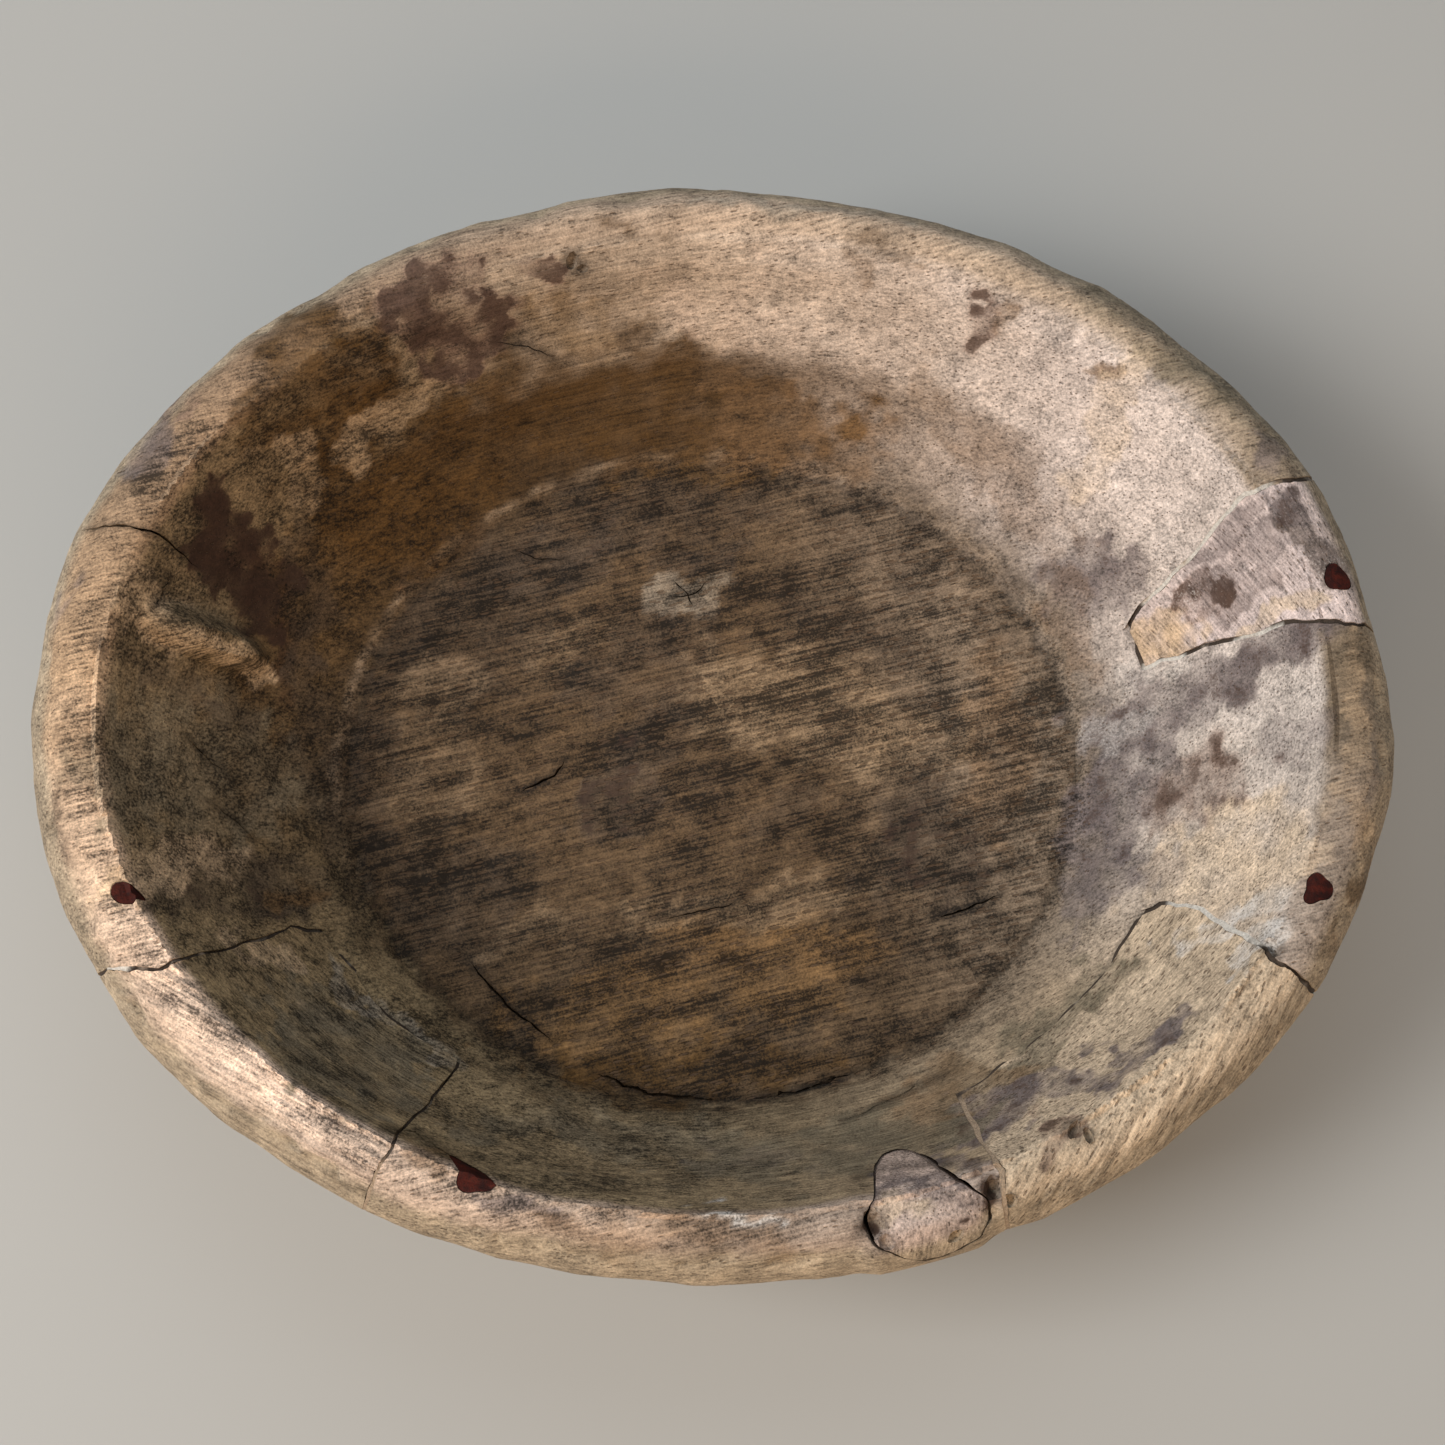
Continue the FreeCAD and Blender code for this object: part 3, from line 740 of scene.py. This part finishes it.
# %% Stains
# Name, place, length and width in plan, turn, tone and strength.
STAINS_AND_PAINTED_LIGHT = [
    ("north wall's dark foot", -28, 102, 143, 36, -5, "umber", 0.9),
    ("north wall's shaded foot", 26, 96, 60, 24, -20, "brown", 0.6),
    ("north-west purple stain", -75, 115, 39, 25, 20, "purple", 0.95),
    ("north-west dark stain", -108, 90, 53, 36, 40, "umber", 0.8),
    ("north-west lower wall", -91, 76, 61, 50, 45, "umber", 1),
    ("north-west tan streak", -91, 91, 35, 12, 50, "tan", 0.5),
    ("west purple stain", -131, 45, 20, 37, 10, "wine", 1),
    ("west wine streak", -123, 28, 9, 40, 0, "wine", 0.6),
    ("west dark streak", -119, 40, 12, 58, 0, "dark", 0.6),
    ("west grey hollow", -139, -13, 47, 56, -60, "olive", 0.7),
    ("west foot", -114, 1, 15, 75, 10, "dark", 0.6),
    # Painted highlight: the hump's top is laid lighter, and the patch below it is painted shadow.
    ("hump", -142, 21, 36, 11, -14, "tan", 0.9),
    ("hump shadow", -145, 9, 33, 8, -20, "dark", 0.6),
    ("south-west brown", -127, -47, 52, 22, 10, "dark", 0.75),
    ("south-west grey", -97, -90, 62, 27, -40, "olive", 0.9),
    ("south-west ridge", -87, -80, 53, 5, -40, "grey", 0.8),
    ("south-west orange", -120, -67, 24, 8, -20, "tan", 0.6),
    ("south wall", -25, -112, 90, 16, -5, "olive", 0.8),
    ("south wall pale", 8, -118, 43, 5, 0, "slate", 0.6),
    ("south wall 2", 24, -116, 75, 16, 8, "olive", 0.9),
    ("south-east crease", 85, -88, 82, 16, 42, "olive", 0.9),
    ("south-east foot", 68, -100, 54, 16, 30, "brown", 0.6),
    ("south-east grey stain", 79, -105, 50, 15, 20, "slate", 0.95),
    ("south-east grey stain 2", 109, -92, 44, 11, 42, "slate", 0.95),
    ("south-east rim stain", 87, -117, 15, 9, 35, "purple", 0.8),
    ("east mottled band", 135, 10, 59, 25, 12, "slate", 0.9),
    ("east purple stain", 134, -17, 34, 20, 15, "purple", 0.85),
    ("east foot stain", 118, -14, 20, 43, -5, "slate", 0.95),
    ("east low grey", 110, -34, 20, 43, -15, "slate", 0.8),
    ("east pale", 140, -39, 46, 33, 30, "pale", 0.8),
    ("north-east grey stain", 110, 47, 23, 32, 60, "slate", 0.9),
    ("north spot", 74, 115, 10, 12, 60, "purple", 0.9),
    ("north tan spot", 81, 113, 8, 6, 0, "honey", 0.7),
    ("north-east spot", 110, 95, 8, 4, 0, "brown", 0.8),
    ("north orange spot", 42, 122, 10, 10, 0, "honey", 0.5),
    ("north-west small spot", -49, 125, 7, 10, 80, "purple", 0.8),
    ("north reddish streaks", 5, 121, 52, 12, -5, "pink", 0.5),
    ("rim grey patch", -152, 71, 16, 26, -40, "slate", 0.85),
    ("rim purple corner", -143, 82, 8, 8, 0, "purple", 0.6),
    ("east rim band", 169, -13, 9, 65, 0, "tan", 0.5),
    # Painted shade: the north-east shoulder and the north edge of the rim are laid greyer and darker, where they turn
    # away from the window.
    ("north-east shoulder", 131, 94, 83, 14, -38, "olive", 0.8),
    ("north edge", 25, 142, 73, 6, -3, "grey", 0.7),
    ("south rim grey", -47, -131, 25, 7, -15, "slate", 0.7),
    ("south rim orange", -12, -138, 81, 10, -4, "honey", 0.35),
    ("south rim dust", 10, -134, 20, 3, 0, "white", 0.8),
    ("west rim orange", -144, -45, 18, 31, -60, "tan", 0.7),
    ("south-west rim orange", -70, -122, 20, 12, -30, "honey", 0.6),
    ("floor grey side", -72, 39, 68, 51, 60, "dark", 0.6),
    ("floor dark top", -19, 71, 84, 24, 8, "dark", 0.55),
    ("floor pale swirl", -7, 46, 30, 13, 15, "grey", 0.55),
    ("floor dark middle", -21, 26, 53, 33, 30, "dark", 0.6),
    ("floor light band", 29, 12, 82, 38, -12, "light", 0.8),
    ("floor dark stain", -28, -15, 35, 26, 60, "dark", 0.9),
    ("floor dark streak", -15, 3, 32, 18, 40, "dark", 0.5),
    ("floor east stain", 63, -29, 41, 41, 0, "dark", 0.85),
    ("floor south-west", -73, -45, 49, 35, 10, "dark", 0.5),
    ("floor south", -4, -70, 120, 37, 14, "honey", 0.75),
    ("floor east side", 83, 3, 26, 64, 0, "brown", 0.5),
    ("floor north-east", 56, 66, 63, 24, -25, "dark", 0.45),
    ("floor west side", -83, -6, 35, 50, 0, "light", 0.4),
    ("resin bead", 40, 95, 10, 6, -10, "honey", 0.9),
    ("brown bead", -92, 48, 6, 4, 0, "brown", 0.9),
    ("floor south edge", -3, -94, 85, 14, 4, "umber", 0.8),
    ("floor west edge", -100, -3, 15, 76, 5, "dark", 0.6),
    ("floor south band", 14, -46, 86, 12, 14, "light", 0.5),
    ("floor centre scatter", -45, 33, 36, 15, 20, "light", 0.35),
    ("floor scatter 2", 44, 39, 42, 18, -20, "dark", 0.4),
    ("floor scatter 3", 20, -21, 35, 15, 10, "dark", 0.4),
    ("floor scatter 4", -55, -56, 46, 9, 14, "light", 0.4),
    ("floor scatter 5", 83, 46, 18, 36, 20, "dark", 0.5),
    ("north-east low band", 84, 80, 76, 15, -45, "brown", 0.45),
    ("north-east low band 2", 106, 37, 15, 41, 15, "brown", 0.4),
    ("north rim scatter", -26, 137, 25, 4, 5, "umber", 0.6),
    ("north rim scatter 2", 47, 130, 22, 4, -10, "umber", 0.5),
    ("west rim scatter", -168, -37, 6, 18, 10, "wine", 0.4),
    ("west rim scatter 2", -172, 25, 5, 16, -5, "slate", 0.5),
    ("north-west rim scatter", -115, 102, 33, 7, 35, "umber", 0.6),
    ("rim south dark", -37, -136, 17, 4, -10, "umber", 0.5),
    ("rim east dark", 170, -45, 5, 23, -10, "umber", 0.7),
    ("rim east dark 2", 160, -70, 8, 15, -35, "umber", 0.6),
    ("rim north-east dark", 149, 70, 14, 10, -40, "slate", 0.7),
    ("north-west tan patch", -117, 72, 17, 17, 30, "tan", 0.5),
    ("west orange patch", -151, 30, 16, 11, -30, "tan", 0.5),
    ("south-west crumbs", -115, -49, 20, 7, 10, "honey", 0.6),
    ("east mottle 2", 149, 13, 22, 17, 10, "slate", 0.8),
    ("east mottle 3", 156, -10, 11, 16, 0, "slate", 0.5),
    ("east mottle 4", 123, -36, 17, 14, 20, "slate", 0.5),
    ("north-east worn streak", 112, 85, 11, 34, -15, "pale", 0.5),
    ("floor north dark", -46, 58, 48, 18, 20, "dark", 0.7),
    ("floor north-west light", -80, 18, 27, 21, 0, "light", 0.5),
    ("floor centre dark", -4, 58, 36, 12, 10, "dark", 0.7),
    ("floor east light", 55, -3, 41, 18, 10, "light", 0.5),
    ("south-east lower grey", 51, -111, 54, 13, 10, "olive", 0.9),
    ("west wine spot", -133, 51, 11, 17, 20, "wine", 0.9),
    ("wall north-west light", -44, 115, 35, 12, -5, "tan", 0.4),
    ("southeast joint dust", 136, -58, 29, 9, 25, "white", 0.55),
    ("southeast joint dust 2", 142, -69, 13, 8, 45, "white", 0.6),
    ("east white bloom", 118, 7, 26, 9, 20, "white", 0.3),
    ("east white bloom 2", 126, 21, 26, 7, 10, "white", 0.3),
    ("floor brown south", -20, -90, 56, 11, 6, "umber", 0.9),
    ("bark by the knot", 40, -136, 6, 14, 10, "wine", 1),
    ("bark by the knot 2", 69, -126, 8, 14, 20, "wine", 0.9),
    ("grey above the knot", 55, -120, 28, 8, -8, "slate", 0.9),
]
WEDGE_STAINS = [
    ("tan tip", 127, 27, 26, 20, 20, "tan", 0.9),
    ("cleaned strip", 153, 26, 25, 8, 10, "pale", 0.7),
    ("purple blotch", 139, 37, 17, 12, 40, "purple", 0.9),
    ("purple blotch 2", 148, 45, 22, 11, 40, "slate", 0.7),
    ("dark blotch", 146, 35, 11, 8, 20, "wine", 0.5),
    ("upper edge", 144, 52, 25, 7, 45, "slate", 0.7),
    ("dark rim", 163, 40, 12, 32, 25, "dark", 0.8),
    ("grey rim", 157, 53, 16, 8, -40, "slate", 0.9),
]
KNOT_STAINS = [
    ("bark", 41, -136, 7, 11, 10, "wine", 1),
    ("bark on the right", 70, -128, 7, 12, 20, "wine", 1),
    ("bark below", 60, -138, 3, 6, -30, "wine", 0.9),
    ("grey top", 53, -125, 27, 7, -8, "slate", 0.9),
    ("grey middle", 55, -133, 12, 6, 10, "slate", 0.6),
    ("pale face", 48, -133, 12, 10, 20, "pale", 0.7),
    ("mottled right end", 65, -128, 10, 9, 10, "slate", 0.6),
]

# %% Where each point of the wood lies
LEVELS_IN, SHARES_IN = zip(*sorted(INSIDE[:8]))
LEVELS_OUT, SHARES_OUT = zip(*sorted(OUTSIDE[1:9]))


def between_at(start, end, shares):
    """Ovals between two ovals, one for each share."""
    return tuple(a + (b - a) * shares for a, b in zip(start, end))


def depth_in_wall(points):
    """How far through the wall each point lies, from 0 at the hollow to 1 at the outside."""
    level = points[:, 2]
    inner = between_at(FLOOR, MOUTH, np.interp(level, LEVELS_IN, SHARES_IN))
    outer = between_at(FOOT, WIDEST, np.interp(level, LEVELS_OUT, SHARES_OUT))
    past_inner = np.clip(oval_share(points, inner) - 1, 0, None)
    short_of_outer = np.clip(1 - oval_share(points, outer), 0, None)
    depth = past_inner / np.maximum(past_inner + short_of_outer, 1e-6)
    return np.where(level < FLOOR_LEVEL - 4, 1, depth)


def by_compass(points, ground):
    """Colours placed every 45 degrees round the bowl, blended by each point's direction."""
    angle = np.degrees(np.arctan2(points[:, 1] / WIDEST[1], points[:, 0] / WIDEST[0])) + 7 * rough(points, 30, 50)
    at = np.arange(len(ground)) * 45
    return np.stack([np.interp(angle, at, channel, period=360) for channel in zip(*ground)], axis=1)


# %% Lay on the colour


def lay(colours, mask, tone):
    """Blends a tone over colours where the mask is 1."""
    return colours + (np.array(tone) - colours) * mask[:, None]


def inside_or(*masks):
    """Where any of the masks holds."""
    return np.clip(sum(masks), 0, 1)


def set_tone(piece, colours):
    """Stores a colour for every point."""
    colour_data = np.ones((len(colours), 4))
    colour_data[:, :3] = colours
    piece.data.attributes.new("tone", "FLOAT_COLOR", "POINT").data.foreach_set("color", colour_data.ravel())


def paint(piece, ground=None, dust=0.0, pores=0.35, fissures=0.0, stains=STAINS_AND_PAINTED_LIGHT):
    """Writes a piece's colour and its stain, dust, pore and fissure amounts as point attributes."""
    points, _ = read(piece)
    torn = rough(points, EDGE_SIZE, 51, 3)
    fine = rough(points, 3, 52, 2)
    depth = depth_in_wall(points)
    inside = 1 - ramp(depth, 0.35, 0.6)
    rim = ramp(points[:, 2], 77, 81) * ramp(oval_share(points, MOUTH) + 0.01 * torn, 0.985, 1.005)
    floor_reach = oval_share(points, FLOOR) + 0.03 * torn + 0.01 * fine
    floor = inside * (1 - ramp(floor_reach, 0.97, 1.06)) * (points[:, 2] < 30)
    colours = np.tile(np.array(OUTSIDE_GROUND), (len(points), 1)) * (1 + 0.25 * torn)[:, None]
    for mask, grounds, lighter in ((inside, WALL_GROUND, 1), (rim, RIM_GROUND, 1.05)):
        here = by_compass(points, grounds) if ground is None else np.tile(np.array(ground) * lighter, (len(points), 1))
        colours += (here - colours) * mask[:, None]
    below_break = ramp(points[:, 2] + 5 * torn, 52, 40) * inside * (1 - floor)
    colours = lay(colours, below_break * by_compass(points, [(share,) for share in FOOT_SHADE])[:, 0], TONES["umber"])
    colours *= (1 - 0.4 * inside * ramp(floor_reach, 1.16, 1.0))[:, None]
    colours = lay(colours, floor, FLOOR_GROUND)
    lip = oval_share(points, FLOOR) + 0.012 * torn
    broken = np.clip(0.45 + 0.9 * rough(points, 14, 60, 3), 0, 1) * ramp(points[:, 1], -60, 10)
    # Painted highlight: a broken, lighter line along the groove's north lip.
    colours = lay(colours, np.exp(-np.square((lip - 1.03) / 0.011)) * inside * broken, LIP_HIGHLIGHT)
    east_foot = ramp(floor_reach, 1.17, 1.03) * inside * ramp(points[:, 0] + 0.3 * points[:, 1], 20, 90)
    colours = lay(colours, 0.7 * east_foot, EAST_FOOT)
    # Painted shade: the middle of the carved groove round the floor is darkened.
    colours *= (1 - 0.55 * np.exp(-np.square((lip - 0.995) / 0.011)) * inside)[:, None]
    stain = np.zeros(len(points))
    dusty = dust * ramp(rough(points, 12, 53, 3), -0.2, 0.6)
    visible = np.clip(inside + rim + (points[:, 2] > 60), 0, 1)
    warped = points.copy()
    for axis in (0, 1):
        warped[:, axis] += 7 * rough(points, 22, 55 + axis) + 3.5 * rough(points, 7, 57 + axis)
    faded = 0.78 + 0.6 * rough(points, 9, 59, 4)
    for _, x, y, length, width, turn, tone, strength in stains:
        darkness = round(SOAKS.get(tone, 0) * strength, 2)
        mask = patch_of(warped, x, y, length * 1.3, width * 1.3, turn) * visible
        mask = ramp(mask + 0.5 * torn + 0.2 * fine, 0.28, 0.62) * (mask > 0) * strength * np.clip(faded, 0, 1)
        colours = lay(colours, mask, TONES[tone])
        # The stain amount also takes the painted shadow below the hump and the painted shade on the north-east
        # shoulder.
        stain = np.maximum(stain * (1 - mask * (darkness < 0.2)), mask * darkness)
        if tone == "white":
            dusty = np.maximum(dusty, mask)
    near_crack = np.full(len(points), 1e9)
    for corners, width, _ in CRACKS.values():
        near_crack = np.minimum(near_crack, near_line(points, *corners) - width / 2)
    for x, y, across, along, *_ in PITS:
        near_crack = np.minimum(near_crack, np.hypot(points[:, 0] - x, points[:, 1] - y) - max(across, along) * 0.8)
    colours *= (1 - 0.45 * (1 - ramp(near_crack, 0, 1.6)) * inside_or(rim, inside))[:, None]
    colours *= (1 + 0.10 * rough(points, 26, 54, 2) + 0.06 * fine)[:, None]
    grown = floor * 0.8 + (1 - floor) * fissures
    south_floor = floor * ramp(-points[:, 1], -10, 60)
    shaded_side = inside * (1 - floor) * ramp(-points[:, 0] - 0.4 * points[:, 1], 0, 80)
    values = {
        "stain": stain, "dust": dusty, "pores": pores + 0.25 * floor,
        "fissures": np.clip(0.45 * grown + 0.4 * south_floor, 0, 1),
        "age": np.clip(0.25 + 0.75 * floor + 0.55 * shaded_side, 0, 1),
    }
    set_tone(piece, np.clip(colours, 0.01, 0.9))
    for layer, amounts in values.items():
        piece.data.attributes.new(layer, "FLOAT", "POINT").data.foreach_set("value", amounts)
    print(piece.name, "painted,", len(points), "points")


# %% [markdown]
# ## Materials
# Wood is solid, so its grain is drawn in three dimensions from Object coordinates: a groove or a cut face then shows
# the right grain by itself. A Mapping node of type Texture turns the pattern to the fibre and stretches it along it.
# Stretched noise gives the fibres, stretched Voronoi cells give the open pores, and rarer, longer ones the fissures.
# All of them also feed the bump, so pores and fissures are dips and not just dots.

# %% A small bench for building materials


class Look:
    """A material being built: each call adds one node, feeds its sockets and returns its output."""

    def __init__(self, name):
        self.material = bpy.data.materials.new(name)
        self.material.use_nodes = True
        self.tree = self.material.node_tree
        self.shader = self.tree.nodes["Principled BSDF"]
        self.place = self.add("TexCoord").outputs["Object"]

    def add(self, kind, settings=(), **sockets):
        node = self.tree.nodes.new(f"ShaderNode{kind}")
        for setting, value in dict(settings).items():
            setattr(node, setting, value)
        for socket, value in sockets.items():
            self.feed(node.inputs[socket.replace("_", " ")], value)
        return node

    def feed(self, socket, value):
        if isinstance(value, bpy.types.NodeSocket):
            self.tree.links.new(value, socket)
        else:
            socket.default_value = value

    def along(self, turn, rise, length, width):
        """Coordinates in cells of a length along the fibre and a width across it, in millimetres."""
        mapping = self.add("Mapping", {"vector_type": "TEXTURE"}, Vector=self.place,
                           Rotation=(0, math.radians(-rise), math.radians(turn)),
                           Scale=(length * MM, width * MM, width * MM))
        return mapping.outputs["Vector"]

    def noise(self, place, scale=1.0, detail=2.0, roughness=0.5):
        return self.add("TexNoise", Vector=place, Scale=scale, Detail=detail, Roughness=roughness).outputs["Fac"]

    def cells(self, place):
        return self.add("TexVoronoi", Vector=place, Scale=1.0).outputs["Distance"]

    def level(self, value, low, high, to_low=0.0, to_high=1.0):
        """A smooth step of a value between two limits."""
        step = self.add("MapRange", {"interpolation_type": "SMOOTHSTEP"}, Value=value, From_Min=low, From_Max=high,
                        To_Min=to_low, To_Max=to_high)
        return step.outputs["Result"]

    def sum(self, operation, first, second, third=None):
        node = self.add("Math", {"operation": operation})
        for socket, value in zip(node.inputs, (first, second, third)):
            if value is not None:
                self.feed(socket, value)
        return node.outputs["Value"]

    def sway(self, pattern, weight, base=0.0):
        """Adds a weighted pattern, taken from its middle, to a base value."""
        return self.sum("MULTIPLY_ADD", self.sum("SUBTRACT", pattern, 0.5), weight, base)

    def layer(self, name, output="Fac"):
        return self.add("Attribute", {"attribute_name": name}).outputs[output]

    def mix(self, share, first, second, blend="MIX"):
        node = self.tree.nodes.new("ShaderNodeMix")
        node.data_type = "RGBA"
        node.blend_type = blend
        for number, value in ((0, share), (6, first), (7, second)):
            self.feed(node.inputs[number], value)
        return node.outputs[2]

    def cover(self, colour, mask, share, tone):
        """Lays a tone over a colour by up to a share where the mask is 1."""
        return self.mix(self.sum("MULTIPLY", mask, share), colour, tone)

    def shaded(self, shade):
        """The painted tone, lighter or darker by a shade."""
        grey = self.add("CombineColor", Red=shade, Green=shade, Blue=shade).outputs["Color"]
        return self.mix(1.0, self.layer("tone", "Color"), grey, "MULTIPLY")

    def surface(self, colour, relief, strength, depth):
        """Feeds the shader its colour, and a bump of a strength and a depth in millimetres."""
        self.feed(self.shader.inputs["Base Color"], colour)
        bump = self.add("Bump", Strength=strength, Distance=depth * MM, Height=relief)
        self.feed(self.shader.inputs["Normal"], bump.outputs["Normal"])


# %% The wood
SOAKED_DARK, SOAKED_LIGHT = (0.03, 0.016, 0.011, 1), (0.075, 0.04, 0.026, 1)
PORE, FISSURE, DUST = (0.11, 0.068, 0.04, 1), (0.02, 0.013, 0.009, 1), (0.66, 0.63, 0.60, 1)


def wood(name, turn, rise=0.0, fibre=0.30, speckle=0.0):
    """Bare, stained wood whose fibres run one way."""
    look = Look(name)
    near = look.along(turn, rise, 1, 1)
    streaks = look.noise(look.along(turn, rise, 22, 0.8), detail=3)
    bands = look.noise(look.along(turn, rise, 70, 3.6), detail=2)
    pore_cells = look.cells(look.along(turn, rise, 5.0, 1.3))
    crack_cells = look.cells(look.along(turn, rise, 26, 3.4))
    blotches = look.noise(near, 0.11, 5, 0.62)
    freckles = look.noise(near, 0.42, 4, 0.65)
    clouds = look.level(look.noise(look.along(turn, rise, 26, 15), 1.0, 7, 0.66), 0.36, 0.64)
    grit = look.noise(near, 1.6, 3, 0.7)
    pore_width = look.sum("MULTIPLY", look.layer("pores"), 0.52)
    pores = look.sum("SUBTRACT", 1.0, look.level(look.sum("SUBTRACT", pore_cells, pore_width), -0.06, 0.06))
    crack_width = look.sum("MULTIPLY", look.layer("fissures"), look.sum("MULTIPLY", blotches, 0.16))
    fissures = look.sum("SUBTRACT", 1.0, look.level(look.sum("SUBTRACT", crack_cells, crack_width), -0.02, 0.03))
    # The stain attribute also holds some painted shade and shadow, which is darkened here like the stains.
    stained = look.level(look.sway(streaks, 0.7, look.sway(blotches, 1.3, look.layer("stain"))), 0.42, 0.66)
    dusty = look.level(look.sway(grit, 1.6, look.layer("dust")), 0.35, 0.8)
    speckled = look.sum("MULTIPLY", look.level(grit, 0.62, 0.72), speckle)

    swing = 0.0
    for pattern, weight in ((streaks, fibre * 7), (bands, fibre * 3), (blotches, 1.3), (freckles, 1.2), (grit, 2.6)):
        swing = look.sway(pattern, weight, swing)
    shade = look.sum("MULTIPLY_ADD", swing, look.sum("ADD", look.layer("age"), 0.55), 1.0)
    patchy = look.sway(clouds, look.sum("POWER", look.layer("age"), 2.0))
    shade = look.sum("MAXIMUM", look.sum("MULTIPLY_ADD", patchy, 1.1, shade), 0.2)
    colour = look.cover(look.shaded(shade), stained, 0.7, look.mix(freckles, SOAKED_DARK, SOAKED_LIGHT))
    colour = look.cover(colour, pores, 0.65, PORE)
    colour = look.cover(colour, fissures, 0.9, FISSURE)
    colour = look.cover(colour, look.sum("MAXIMUM", dusty, speckled), 0.75, DUST)

    relief = look.sum("MULTIPLY_ADD", streaks, 0.35, look.sum("MULTIPLY", grit, 0.22))
    relief = look.sum("MULTIPLY_ADD", pores, -0.5, relief)
    relief = look.sum("MULTIPLY_ADD", fissures, -1.2, relief)
    look.surface(colour, relief, 0.75, 0.9)
    look.feed(look.shader.inputs["Roughness"], look.level(blotches, 0.3, 0.7, 0.9, 0.72))
    look.shader.inputs["Specular IOR Level"].default_value = 0.3
    return look.material


# %% Pegs and filler
PEG_DARK, PEG_LIGHT, PEG_PORE = (0.022, 0.003, 0.002, 1), (0.07, 0.009, 0.004, 1), (0.012, 0.005, 0.004, 1)


def end_grain(name):
    """Dark red-brown peg wood, darkest in the pores of its end grain."""
    look = Look(name)
    near = look.along(0, 0, 1, 1)
    dots = look.noise(near, 1.7, 3, 0.7)
    blotches = look.noise(near, 0.35, 3)
    colour = look.mix(look.level(blotches, 0.35, 0.65), PEG_DARK, PEG_LIGHT)
    look.surface(look.mix(look.level(dots, 0.54, 0.64, 0, 0.7), colour, PEG_PORE), dots, 0.6, 0.4)
    look.shader.inputs["Roughness"].default_value = 0.7
    look.shader.inputs["Specular IOR Level"].default_value = 0.2
    return look.material


def putty(name):
    """Gritty filler in the tone laid on it."""
    look = Look(name)
    grit = look.noise(look.along(0, 0, 1, 1), 1.2, 4, 0.65)
    shade = look.sum("MAXIMUM", look.sway(grit, 1.6, 1.0), 0.3)
    look.surface(look.shaded(shade), grit, 0.8, 0.6)
    look.shader.inputs["Roughness"].default_value = 0.92
    return look.material


# %% [markdown]
# ## Finish each piece
# The filler is clean and white only along the upper part of the wedge's long seam and in the middle of the southeast
# seam. In two places it was toned like the wood and hardly shows, and everywhere else it is dark with dirt. Every
# piece then takes its look, rides with the bowl, names its slot and stands for its designed solid.

# %% Tone the filler
DIRT, CLEAN_FILLER, TONED_FILLER = (0.05, 0.035, 0.025), (0.60, 0.57, 0.52), (0.36, 0.27, 0.19)
for piece in filler.values():
    points, _ = read(piece)
    torn = rough(points, 5, 61)
    colours = np.tile(DIRT, (len(points), 1))
    for places, tone in ((CLEAN, CLEAN_FILLER), (HIDDEN, TONED_FILLER)):
        near_it = np.max([patch_of(points, *place) for place in places], axis=0)
        colours = lay(colours, ramp(near_it + 0.55 * torn, 0.15, 0.5), tone)
    set_tone(piece, colours)

# %% Paint the wood
paint(body, pores=0.3, fissures=0.08)
paint(new_wood["wedge"], ground=(.56, .47, .45), dust=0.35, pores=0.3, stains=WEDGE_STAINS)
paint(new_wood["southeast"], ground=(.52, .41, .295), dust=0.12, pores=0.42)
paint(new_wood["southwest"], pores=0.2)
paint(knot, ground=(.46, .36, .31), dust=0.35, pores=0.3, stains=KNOT_STAINS)

# %% Give every piece its look, its body, its slot and its node
CREASE = math.radians(35)
FINISH = [
    (body, "bowl_body", "body_wood", wood("body_wood", GRAIN_TURN)),
    (new_wood["wedge"], "wedge_patch", "wedge_wood", wood("wedge_wood", -62, 20, speckle=0.5)),
    (new_wood["southeast"], "southeast_rim_segment", "southeast_wood", wood("southeast_wood", 60, 15)),
    (new_wood["southwest"], "southwest_rim_segment", "southwest_wood", wood("southwest_wood", -28)),
    (knot, "knot_plug", "knot_wood", wood("knot_wood", 80, 60, speckle=0.35)),
]
peg_look, filler_look = end_grain("peg_wood"), putty("filler")
FINISH += [(piece, f"{name}_peg", "peg_wood", peg_look) for name, piece in pegs.items()]
FINISH += [(piece, f"{name}_filler", "filler", filler_look) for name, piece in filler.items()]
for piece, node, slot, look in FINISH:
    piece.data.materials.clear()
    piece.data.materials.append(look)
    only(piece)
    bpy.ops.object.shade_smooth_by_angle(angle=CREASE)
    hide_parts(node)
    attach(piece, "root")
    piece.data.calc_loop_triangles()
    print(node, "has", len(piece.data.loop_triangles), "triangles")

# %% Put the tools away
for tool in [thing for thing in bpy.data.objects if "_tool" in thing.name or thing is whole]:
    bpy.data.objects.remove(tool)
